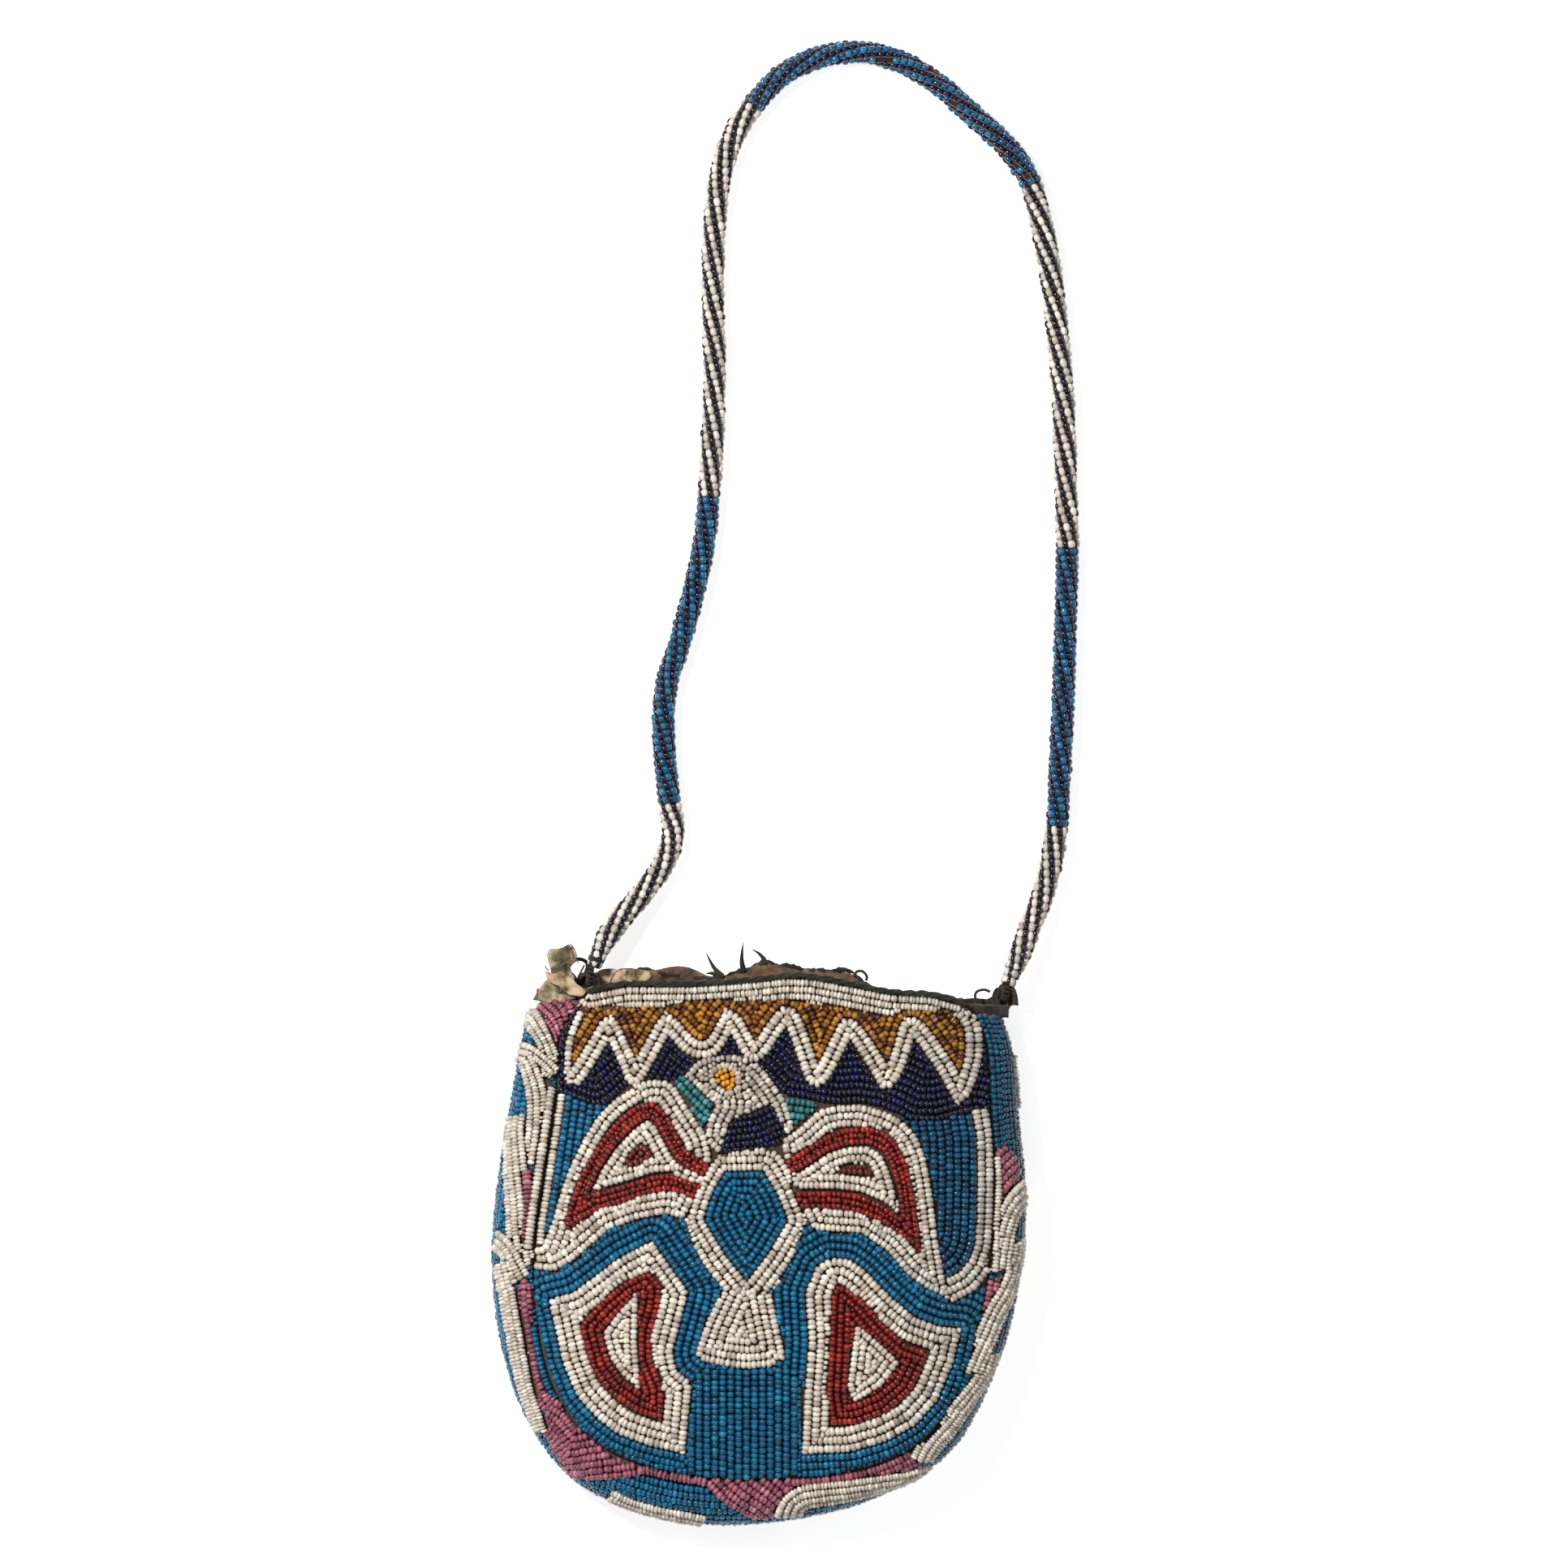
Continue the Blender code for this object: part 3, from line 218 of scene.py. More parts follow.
# The band's rows of beads, as many all along it, and their pitch on its map
BAND_ROWS = 15
BAND_ROW_PITCH = 9.8
BAND_MAP_WIDTH = BAND_ROWS * BAND_ROW_PITCH


class Band:
    """The side band, with a row for each fine station of the seam and a column for each step round
    from the front seam over the widest line to the back seam."""

    # Columns from the front seam to the widest line, and how a picture place is searched for
    QUARTER = 12
    SEARCH_ROUNDS = 6
    DAMPING_SHARE = 0.3

    def __init__(self):
        seam, widest = spline(at(FRONT_SEAM_PX), FINE_STATIONS), spline(at(WIDEST_PX), FINE_STATIONS)
        back = offset_line(widest, -BACK_SEAM_INSET)
        turn = np.linspace(0, math.pi / 2, self.QUARTER + 1)
        sine, cosine = np.sin(turn)[None, :, None], np.cos(turn)[None, :, None]
        top, wide, low = (np.column_stack([line, np.zeros(len(line))]) for line in (seam, widest, back))
        top[:, 2], wide[:, 2], low[:, 2] = seam_height(seam[:, 1]), WIDEST_HEIGHT, BACK_SEAM_HEIGHT
        top, wide, low = top[:, None], wide[:, None], low[:, None]
        flat, upright = np.array([1, 1, 0]), np.array([0, 0, 1])
        upper = flat * (top + (wide - top) * sine) + upright * (wide + (top - wide) * cosine)
        lower = flat * (wide + (low - wide) * (1 - cosine)) + upright * (wide + (low - wide) * sine)
        self.places = np.concatenate([upper, lower[:, 1:]], axis=1)
        runs = np.gradient(self.places, axis=1)
        self.outward = unit(np.cross(runs, np.gradient(self.places, axis=0)))
        self.u = lengths_along(widest) / PIXEL.mean()
        steps = np.linalg.norm(np.diff(self.places, axis=1), axis=2)
        far = np.concatenate([np.zeros((len(steps), 1)), np.cumsum(steps, axis=1)], axis=1)
        self.v = far / far[:, -1:] * BAND_MAP_WIDTH

    def at_map(self, values, points):
        """Values of the grid at map points: u along the band and v round it, in picture pixels."""
        row = np.interp(points[:, 0], self.u, np.arange(len(self.u)))
        low = np.minimum(row.astype(int), len(self.u) - 2)
        share = (row - low)[:, None]
        found = []
        for side in (low, low + 1):
            v = self.v[side]
            column = np.sum(v[:, 1:-1] <= points[:, 1:2], axis=1)
            here, there = v[np.arange(len(side)), column], v[np.arange(len(side)), column + 1]
            part = ((points[:, 1] - here) / (there - here))[:, None]
            found.append(values[side, column] * (1 - part) + values[side, column + 1] * part)
        return found[0] * (1 - share) + found[1] * share

    def place(self, points):
        return self.at_map(self.places, points)

    def from_picture(self, points_px):
        """Map points of picture places, on the half that the picture shows."""
        upper = self.places[:, : self.QUARTER + 1, :2]
        flat = at(points_px)
        found = []
        for place in flat:
            gap = np.linalg.norm(upper - place, axis=2)
            row, column = np.unravel_index(gap.argmin(), gap.shape)
            found.append((self.u[row], self.v[row, column]))
        found = np.array(found)
        for _ in range(self.SEARCH_ROUNDS):
            here = self.place(found)[:, :2]
            along = self.place(found + (1, 0))[:, :2] - here
            across = self.place(found + (0, 1))[:, :2] - here
            lean = np.stack([along, across], axis=2)
            turned = lean.transpose(0, 2, 1)
            damped = turned @ lean + np.eye(2) * (self.DAMPING_SHARE * PIXEL[0]) ** 2
            found += np.linalg.solve(damped, turned @ (flat - here)[:, :, None])[:, :, 0]
            middle = np.interp(found[:, 0], self.u, self.v[:, self.QUARTER])
            found[:, 1] = np.clip(found[:, 1], 0, middle)
        return found

    def mirrored(self, points):
        """The map points turned over the widest line."""
        middle = np.interp(points[:, 0], self.u, self.v[:, self.QUARTER])
        return np.column_stack([points[:, 0], 2 * middle - points[:, 1]])


BAND = Band()


class Map:
    """A flat map of a beaded surface, on which fields are painted and beads are laid in rows."""

    # Cells for each picture pixel, points for each cell where a bead takes its place, and every
    # how many cells a later pass tries to fit one in
    CELLS = 2
    TAKEN_DENSITY = 1.3
    FILL_CELLS = 3

    def __init__(self, low, high, place, outward):
        self.low = np.array(low, float)
        size = (np.array(high) - low) * self.CELLS
        self.owner = np.full((int(size[1]), int(size[0])), -1)
        self.taken = np.zeros(self.owner.shape, bool)
        self.place = place
        self.outward = outward

    def paint(self, number, loop):
        """Gives the cells inside a closed outline to a field."""
        loop = (np.asarray(loop, float) - self.low) * self.CELLS - 0.5
        x1, y1 = loop.T
        x2, y2 = np.roll(loop, -1, axis=0).T
        first = max(int(loop[:, 1].min()), 0)
        last = min(int(loop[:, 1].max()) + 2, self.owner.shape[0])
        columns = np.arange(self.owner.shape[1])
        for row in range(first, last):
            hit = (y1 > row) != (y2 > row)
            crosses = x1[hit] + (row - y1[hit]) * (x2[hit] - x1[hit]) / (y2[hit] - y1[hit])
            inside = np.searchsorted(np.sort(crosses), columns) % 2 == 1
            self.owner[row, inside] = number

    def cells(self, points):
        """Row and column of each point, and whether it is on the map."""
        index = np.floor((points - self.low) * self.CELLS).astype(int)
        inside = np.all((index >= 0) & (index < self.owner.shape[::-1]), axis=-1)
        index = np.clip(index, 0, np.array(self.owner.shape[::-1]) - 1)
        return index[..., 1], index[..., 0], inside

    def room(self, number, centres, angles, length, width):
        """The share of each bead's footprint that is its field's own and still free."""
        grid = np.stack(np.meshgrid(FOOTPRINT, FOOTPRINT), axis=-1).reshape(-1, 2)
        grid = grid * (length / 2, width / 2)
        cosine, sine = np.cos(angles)[:, None], np.sin(angles)[:, None]
        x = centres[:, :1] + grid[:, 0] * cosine - grid[:, 1] * sine
        y = centres[:, 1:] + grid[:, 0] * sine + grid[:, 1] * cosine
        rows, columns, inside = self.cells(np.stack([x, y], axis=-1))
        return (inside & (self.owner[rows, columns] == number) & ~self.taken[rows, columns]).mean(1)

    def take(self, centre, angle, length, width):
        """Marks the cells under a bead."""
        reach = np.array([length, width]) / 2 * TAKEN_SHARE
        counts = [max(2, math.ceil(2 * r * self.CELLS * self.TAKEN_DENSITY)) for r in reach]
        sides = [np.linspace(-r, r, count) for r, count in zip(reach, counts)]
        grid = np.stack(np.meshgrid(*sides), axis=-1).reshape(-1, 2)
        cosine, sine = math.cos(angle), math.sin(angle)
        spun = grid @ np.array([[cosine, sine], [-sine, cosine]])
        rows, columns, inside = self.cells(centre + spun)
        self.taken[rows[inside], columns[inside]] = True

    def contours(self, number, guides, pitch, start):
        """Rows at even distances from the guide lines, over a field."""
        rows, columns = np.nonzero(self.owner == number)
        if not len(rows):
            return []
        low = np.array([columns.min(), rows.min()]) / self.CELLS + self.low - GRID_STEP
        high = np.array([columns.max(), rows.max()]) / self.CELLS + self.low + 2 * GRID_STEP
        xs, ys = (np.arange(a, b, GRID_STEP) for a, b in zip(low, high))
        grid = np.stack(np.meshgrid(xs, ys), axis=-1)
        points = grid.reshape(-1, 2)
        far = np.min([distance_to(points, guide) for guide in guides], axis=0).reshape(grid.shape[:2])
        r, c, inside = self.cells(grid)
        own = inside & (self.owner[r, c] == number)
        level, found = start + pitch / 2, []
        if level <= 0:
            found += [evenly(np.asarray(guide, float), GUIDE_STEP) for guide in guides]
            level += pitch
        while level < far[own].max() + pitch / 2:
            found += [line * GRID_STEP + low for line in level_lines(far, level)]
            level += pitch
        return found

    def lay(self, number, rows, kind, rng):
        """Beads in order along rows, wherever their field has room for them."""
        beads = []
        for row in rows:
            along = lengths_along(row)
            place = kind.length * ROW_START_SHARE
            while place < along[-1]:
                length = kind.length * (1 + kind.variety * rng.normal())
                width = kind.pitch * (1 + WIDTH_VARIETY_SHARE * kind.variety * rng.normal())
                middle = place + length / 2
                x = np.interp([middle - 1, middle, middle + 1], along, row[:, 0])
                y = np.interp([middle - 1, middle, middle + 1], along, row[:, 1])
                angle = math.atan2(y[2] - y[0], x[2] - x[0])
                centre = np.array([x[1], y[1]])
                fits = self.room(number, centre[None], np.array([angle]), length, width)[0]
                if fits < LEAST_ROOM_SHARE:
                    place += kind.length * SEARCH_STEP_SHARE
                    continue
                self.take(centre, angle, length, width)
                beads.append((*centre, angle, length, width))
                place += length
        return beads

    def fill(self, number, beads, kind, least, size):
        """More beads where the rows left room, turned as the nearest bead is."""
        rows, columns = np.nonzero((self.owner == number) & ~self.taken)
        keep = (rows % self.FILL_CELLS == 0) & (columns % self.FILL_CELLS == 0)
        centres = np.column_stack([columns[keep], rows[keep]]) / self.CELLS + self.low
        if not len(centres) or not beads:
            return beads
        laid = np.array(beads)
        nearest = [int(np.argmin(((laid[:, :2] - c) ** 2).sum(1))) for c in centres]
        angles = laid[nearest, 2]
        length, width = kind.length * size, kind.pitch * size
        fits = self.room(number, centres, angles, length, width)
        for i in np.argsort(-fits, kind="stable"):
            if fits[i] < least:
                break
            here = self.room(number, centres[i : i + 1], angles[i : i + 1], length, width)[0]
            if here >= least:
                self.take(centres[i], angles[i], length, width)
                beads.append((*centres[i], angles[i], length, width))
        return beads


# Shares of a bead's own size: the points at which its room is felt, and the part that it takes
FOOTPRINT_SHARE = 0.84
FOOTPRINT = np.linspace(-FOOTPRINT_SHARE, FOOTPRINT_SHARE, 5)
TAKEN_SHARE = 0.86
LEAST_ROOM_SHARE = 0.68
ROW_START_SHARE = 0.3
SEARCH_STEP_SHARE = 0.22
WIDTH_VARIETY_SHARE = 0.5
# The least room and the size of the beads that each later pass fills in, as shares
FILL_PASSES = ((0.8, 0.96), (0.8, 0.86), (0.74, 0.78), (0.68, 0.68), (0.66, 0.6))
GRID_STEP = 2.0
GUIDE_STEP = 2


def level_lines(values, level):
    """Lines of one level over a square grid of values, in steps of the grid."""
    inside = values > level
    corners = inside[:-1, :-1].astype(int) + inside[:-1, 1:] + inside[1:, :-1] + inside[1:, 1:]
    links = {}
    for i, j in zip(*np.nonzero((corners > 0) & (corners < 4))):
        a, b, c, d = inside[i, j], inside[i, j + 1], inside[i + 1, j + 1], inside[i + 1, j]
        cut = []
        if a != b:
            cut.append((0, i, j))
        if b != c:
            cut.append((1, i, j + 1))
        if c != d:
            cut.append((0, i + 1, j))
        if d != a:
            cut.append((1, i, j))
        for one, other in zip(cut[::2], cut[1::2]):
            links.setdefault(one, []).append(other)
            links.setdefault(other, []).append(one)
    found, used = [], set()
    ends = [edge for edge in links if len(links[edge]) == 1]
    for first in [*ends, *links]:
        if first in used:
            continue
        chain, edge = [], first
        while edge is not None:
            used.add(edge)
            chain.append(edge)
            edge = next((other for other in links[edge] if other not in used), None)
        if len(chain) < 3:
            continue
        if first in links[chain[-1]]:
            chain.append(first)
        found.append(np.array([crossing(values, level, edge) for edge in chain]))
    return found


def crossing(values, level, edge):
    """Where a level crosses one edge of the grid."""
    down, i, j = edge
    here = values[i, j]
    there = values[i + 1, j] if down else values[i, j + 1]
    share = (level - here) / (there - here)
    return (j, i + share) if down else (j + share, i)


class Kind:
    """One sort of bead: the pitch of its rows and its length along them, in picture pixels, how
    much its sizes vary, its colours with their weights, and its material's slot."""

    def __init__(self, slot, pitch, length, colours, variety=0.06):
        self.slot = slot
        self.pitch = pitch
        self.length = length
        self.colours = np.array([colour for _, colour in colours], float)
        self.weights = np.array([weight for weight, _ in colours], float)
        self.weights /= self.weights.sum()
        self.variety = variety

    def sized(self, pitch, length=None):
        made = copy.copy(self)
        made.pitch = pitch
        made.length = length or self.length
        return made

    def tints(self, count, rng):
        picked = self.colours[rng.choice(len(self.colours), count, p=self.weights)]
        shade = 1 + SHADE_VARIETY_SHARE * rng.normal(size=(count, 1))
        return np.clip(picked * shade + HUE_VARIETY * rng.normal(size=(count, 3)), *TINT_LIMITS)


SHADE_VARIETY_SHARE = 0.07
HUE_VARIETY = 0.004
TINT_LIMITS = (0.01, 0.97)


# Bead colours, as sRGB with their weights
CREAM_TINTS = ((6, (0.90, 0.86, 0.80)), (3, (0.84, 0.79, 0.73)), (1, (0.77, 0.71, 0.63)))
GREY_TINTS = ((3, (0.80, 0.76, 0.71)), (2, (0.70, 0.65, 0.60)), (1, (0.87, 0.83, 0.78)))
BLUE_TINTS = ((6, (0.0, 0.38, 0.53)), (3, (0.0, 0.32, 0.46)), (1, (0.04, 0.46, 0.61)))
# The ground's blue darkened as painted shade, for the ground on the pouch's right side
SHADED_GROUND_BLUE_TINTS = ((4, (0.015, 0.30, 0.44)), (3, (0.01, 0.24, 0.37)), (1, (0.03, 0.38, 0.53)))
NAVY_TINTS = ((5, (0.015, 0.035, 0.17)), (2, (0.035, 0.06, 0.27)), (2, (0.012, 0.02, 0.09)))
RED_TINTS = ((5, (0.52, 0.10, 0.075)), (3, (0.40, 0.07, 0.06)), (1, (0.62, 0.16, 0.11)))
DARK_RED_TINTS = ((4, (0.42, 0.12, 0.11)), (2, (0.34, 0.09, 0.09)))
AMBER_TINTS = ((5, (0.70, 0.47, 0.14)), (3, (0.50, 0.29, 0.07)), (3, (0.36, 0.19, 0.05)),
               (0.3, (0.72, 0.40, 0.45)))
EYE_TINTS = ((3, (0.86, 0.58, 0.13)), (1, (0.76, 0.47, 0.11)))
TURQUOISE_TINTS = ((3, (0.19, 0.48, 0.49)), (1, (0.26, 0.57, 0.58)), (1, (0.14, 0.38, 0.40)))
PINK_TINTS = ((5, (0.66, 0.38, 0.44)), (3, (0.54, 0.28, 0.35)), (1, (0.76, 0.49, 0.55)))
STRAP_BLUE_TINTS = ((4, (0.01, 0.36, 0.54)), (2, (0.06, 0.43, 0.58)), (2, (0.0, 0.28, 0.44)))
STRAP_NAVY_TINTS = ((4, (0.05, 0.05, 0.19)), (2, (0.03, 0.03, 0.12)), (1, (0.11, 0.09, 0.26)))
STRAP_DARK_TINTS = ((4, (0.08, 0.065, 0.14)), (3, (0.05, 0.045, 0.08)), (1, (0.15, 0.11, 0.2)))

CREAM = Kind("cream_beads", 9.8, 6.4, CREAM_TINTS, 0.07)
GREY = Kind("cream_beads", 8.8, 6.2, GREY_TINTS, 0.1)
BLUE = Kind("cerulean_beads", 9.8, 6.9, BLUE_TINTS)
SHADED_GROUND_BLUE = Kind("cerulean_beads", 9.8, 6.9, SHADED_GROUND_BLUE_TINTS)
NAVY = Kind("navy_beads", 8.8, 6.2, NAVY_TINTS, 0.07)
RED = Kind("red_beads", 8.2, 6.3, RED_TINTS, 0.07)
DARK_RED = Kind("red_beads", 8.2, 6.3, DARK_RED_TINTS, 0.07)
AMBER = Kind("amber_beads", 8.6, 6.0, AMBER_TINTS, 0.09)
EYE_AMBER = Kind("amber_beads", 7.4, 6.4, EYE_TINTS, 0.09)
TURQUOISE = Kind("turquoise_beads", 8.8, 6.4, TURQUOISE_TINTS)
PINK = Kind("pink_beads", 9.8, 6.6, PINK_TINTS, 0.07)
BAND_CREAM = Kind("cream_beads", 9.2, 4.8, CREAM_TINTS, 0.08)
SEAM_CREAM = BAND_CREAM.sized(11, 5.2)
PINK_CORNER = PINK.sized(5.8, 5.6)
PINK_LINE = PINK.sized(11.5, 5.8)
BORDER_CREAM = CREAM.sized(8.6, 4.7)
ZIGZAG_CREAM = CREAM.sized(11.2, 6.4)
LOBE_CREAM = CREAM.sized(10.7, 6.6)
EDGE_CREAM = CREAM.sized(10.2, 6.4)

# Fields of the front
BORDER_PX = (
    (700, 1200), (1190, 1200), (1230, 1262), (1187, 1250), (1170, 1243), (1148, 1246), (1120, 1244),
    (1100, 1250), (1079, 1251), (1061, 1248), (1044, 1241), (1001, 1238), (966, 1230), (926, 1234),
    (891, 1233), (865, 1232), (844, 1236), (813, 1240), (758, 1240), (719, 1241), (700, 1236),
)
FRONT_EDGE_PX = (
    (1185, 1239), (1148, 1229), (1098, 1226), (1048, 1216), (1000, 1207), (968, 1206), (926, 1211),
    (854, 1216), (771, 1216), (726, 1225),
)
LEFT_LEG_PX = (
    (716, 1243), (706, 1265), (701, 1281), (699, 1294), (698, 1308), (698, 1324), (704, 1334),
)
ZIGZAG_PX = (
    (704, 1331), (718, 1312), (744, 1270), (750, 1262),
    (757, 1274), (775, 1313), (781, 1326), (795, 1304), (817, 1265), (824, 1261), (840, 1278),
    (855, 1291), (875, 1291), (887, 1276), (899, 1255), (910, 1268), (924, 1293), (930, 1297),
    (940, 1288), (967, 1250), (981, 1266), (999, 1316), (1007, 1328), (1020, 1311), (1040, 1271),
    (1047, 1265), (1062, 1281), (1088, 1322), (1094, 1330), (1107, 1307), (1118, 1271), (1125, 1263),
    (1140, 1277), (1170, 1320), (1184, 1346), (1192, 1332), (1199, 1311), (1202, 1292), (1201, 1272),
    (1196, 1255), (1183, 1241),
)
ZIGZAG_WIDTH_PX = 23
NAVY_LEFT_PX = (
    (660, 1240), (716, 1240), (700, 1281), (698, 1310), (704, 1331), (718, 1312), (750, 1262),
    (781, 1326), (773, 1337), (756, 1350), (744, 1361), (728, 1361), (711, 1355), (691, 1347),
    (660, 1340),
)
NAVY_MIDDLE_PX = (
    (824, 1261), (840, 1278), (862, 1291), (858, 1303), (844, 1320), (832, 1330), (795, 1331),
    (781, 1326),
)
NAVY_SMALL_PX = ((898, 1262), (912, 1284), (918, 1300), (880, 1300), (885, 1284))
NAVY_RIGHT_PX = (
    (930, 1297), (967, 1250), (1007, 1328), (1047, 1265), (1094, 1330), (1125, 1263), (1184, 1347),
    (1202, 1283), (1200, 1250), (1240, 1250), (1240, 1362), (1200, 1370), (1178, 1375), (1157, 1381),
    (1124, 1381), (1105, 1370), (1081, 1361), (1057, 1357), (1031, 1359), (1009, 1356), (987, 1351),
    (966, 1348), (953, 1333), (940, 1318),
)
HEAD_PX = (
    (842, 1324), (858, 1306), (875, 1300), (905, 1298), (928, 1303), (942, 1317), (957, 1337),
    (969, 1355), (980, 1388), (962, 1404), (940, 1414), (885, 1421), (868, 1404), (872, 1378),
    (882, 1360), (862, 1342),
)
EYE_PX = ((880, 1322), (893, 1315), (905, 1322), (906, 1338), (896, 1342), (884, 1334))
LEFT_CHEEK_PX = (
    (836, 1323), (845, 1328), (879, 1359), (875, 1374), (866, 1390), (856, 1374), (848, 1354),
    (831, 1333),
)
RIGHT_CHEEK_PX = ((965, 1351), (988, 1351), (1010, 1360), (994, 1374), (981, 1386), (972, 1368))
COLLAR_PX = ((899, 1380), (946, 1358), (962, 1380), (973, 1401), (940, 1414), (885, 1421))
BODY_BORDER_PX = (
    (884, 1421), (940, 1415), (966, 1424), (982, 1478), (996, 1503), (976, 1548), (957, 1588),
    (920, 1597), (890, 1588), (862, 1550), (843, 1503), (862, 1466), (872, 1440),
)
BODY_PX = (
    (893, 1443), (940, 1442), (956, 1468), (971, 1503), (946, 1545), (920, 1579), (893, 1545),
    (867, 1502), (878, 1470),
)
TAIL_PX = (
    (894, 1588), (920, 1598), (947, 1588), (955, 1612), (963, 1648), (967, 1672), (950, 1683),
    (920, 1686), (890, 1681), (858, 1674), (857, 1664), (870, 1628), (885, 1603),
)
LEFT_WING_PX = (
    (876, 1420), (870, 1396), (848, 1363), (832, 1337), (820, 1329), (795, 1329), (775, 1341),
    (756, 1353), (738, 1370), (722, 1394), (707, 1421), (695, 1449), (685, 1480), (675, 1514),
    (666, 1535), (640, 1540), (640, 1563), (681, 1567), (704, 1554), (729, 1533), (750, 1515),
    (783, 1503), (820, 1496), (842, 1503), (862, 1466), (876, 1440),
)
LEFT_WING_RED_PX = (
    (871, 1452), (850, 1443), (829, 1424), (816, 1400), (806, 1381), (796, 1377), (779, 1388),
    (758, 1410), (738, 1440), (724, 1470), (750, 1463), (782, 1454), (806, 1446), (826, 1445),
    (848, 1453), (868, 1461), (864, 1482), (840, 1472), (822, 1467), (800, 1471), (770, 1481),
    (735, 1492), (712, 1504), (690, 1526), (697, 1488), (712, 1448), (732, 1412), (758, 1378),
    (784, 1359), (806, 1355), (824, 1372), (836, 1398), (848, 1416), (874, 1432),
)
LEFT_WING_INNER_PX = (
    (796, 1379), (806, 1383), (816, 1402), (829, 1426), (846, 1442), (826, 1443), (806, 1444),
    (782, 1452), (750, 1461), (727, 1467), (740, 1440), (759, 1412), (780, 1390),
)
LEFT_CENTRE_PX = ((764, 1435), (773, 1419), (787, 1406), (797, 1412), (805, 1425), (791, 1433), (773, 1439))
RIGHT_WING_PX = (
    (966, 1424), (962, 1404), (981, 1391), (1009, 1366), (1031, 1360), (1061, 1359), (1092, 1368),
    (1113, 1379), (1131, 1398), (1142, 1424), (1148, 1455), (1153, 1490), (1157, 1524), (1166, 1575),
    (1175, 1604), (1144, 1589), (1119, 1571), (1093, 1541), (1062, 1520), (1001, 1516), (996, 1503),
    (982, 1478),
)
RIGHT_WING_RED_PX = (
    (962, 1432), (988, 1416), (1016, 1398), (1040, 1388), (1068, 1386), (1092, 1392), (1108, 1408),
    (1120, 1434), (1127, 1465), (1132, 1500), (1138, 1546), (1112, 1524), (1084, 1505), (1057, 1495),
    (1030, 1490), (982, 1490), (979, 1467), (1032, 1467), (1060, 1471), (1086, 1482), (1110, 1498),
    (1106, 1466), (1098, 1438), (1088, 1418), (1070, 1409), (1044, 1410), (1020, 1418), (994, 1436),
    (968, 1450),
)
RIGHT_WING_INNER_PX = (
    (994, 1438), (1020, 1420), (1044, 1412), (1069, 1411), (1086, 1420), (1096, 1440), (1104, 1468),
    (1106, 1493), (1087, 1480), (1061, 1469), (1032, 1465), (979, 1465), (974, 1450),
)
RIGHT_CENTRE_PX = ((1027, 1443), (1044, 1435), (1068, 1434), (1079, 1452), (1070, 1448), (1044, 1446))
LEFT_LOBE_PX = (
    (673, 1600), (704, 1592), (732, 1572), (762, 1549), (803, 1528), (820, 1552), (849, 1592),
    (841, 1622), (829, 1666), (834, 1689), (853, 1704), (844, 1794), (798, 1783), (762, 1770),
    (737, 1752), (709, 1722), (691, 1679), (681, 1633),
)
LEFT_LOBE_RED_PX = (
    (798, 1565), (816, 1584), (813, 1612), (803, 1643), (803, 1674), (818, 1712), (816, 1753),
    (783, 1742), (750, 1720), (727, 1689), (711, 1633), (742, 1600), (768, 1579),
)
LEFT_LOBE_INNER_PX = (
    (786, 1590), (784, 1653), (789, 1714), (768, 1699), (750, 1674), (741, 1643), (760, 1617),
)
RIGHT_LOBE_PX = (
    (1024, 1549), (1047, 1551), (1068, 1566), (1098, 1597), (1129, 1623), (1159, 1634), (1187, 1637),
    (1177, 1679), (1157, 1727), (1129, 1758), (1093, 1778), (1050, 1791), (988, 1794), (991, 1720),
    (996, 1653), (992, 1592), (1006, 1559),
)
RIGHT_LOBE_RED_PX = (
    (1034, 1583), (1047, 1587), (1068, 1605), (1093, 1633), (1119, 1656), (1149, 1666), (1124, 1717),
    (1093, 1743), (1055, 1757), (1024, 1758), (1018, 1720), (1022, 1653), (1024, 1592),
)
RIGHT_LOBE_INNER_PX = (
    (1055, 1630), (1083, 1653), (1111, 1679), (1088, 1709), (1052, 1732), (1044, 1709), (1050, 1666),
)
RIGHT_EDGE_PX = (
    (1196, 1370), (1218, 1365), (1240, 1365), (1240, 1570), (1212, 1584), (1195, 1598), (1175, 1606),
    (1166, 1576), (1184, 1567), (1196, 1552), (1203, 1532), (1205, 1500), (1206, 1450), (1205, 1400),
)
GROUND_LEFT_PX = ((640, 1342), (750, 1342), (750, 1375), (700, 1500), (672, 1548), (640, 1548))
SEAM_COLUMN_PX = (
    (660, 1345), (694.5, 1345), (688, 1390), (680.5, 1440), (672.5, 1490), (666.5, 1534), (640, 1534),
)
GROUND_RIGHT_PX = (
    (1100, 1360), (1225, 1360), (1225, 1560), (1166, 1590), (1150, 1450), (1120, 1395),
)
GROUND_LOWER_PX = (
    (630, 1550), (690, 1550), (760, 1490), (820, 1480), (856, 1490), (888, 1560), (955, 1560),
    (985, 1495), (1070, 1505), (1130, 1560), (1172, 1595), (1250, 1570), (1250, 1700), (1180, 1830),
    (930, 1860), (690, 1830), (630, 1650),
)
MIDDLE_GROUND_PX = (
    (853, 1700), (866, 1688), (920, 1690), (975, 1686), (988, 1700), (988, 1830), (846, 1830),
)
AMBER_PX = ((716, 1225), *LEFT_LEG_PX, *ZIGZAG_PX, (1192, 1225))
EYE_RING_PX = (
    (893, 1304), (906, 1308), (916, 1318), (918, 1331), (914, 1345), (903, 1354), (890, 1355),
    (877, 1350), (869, 1338), (867, 1325), (872, 1312), (882, 1306),
)

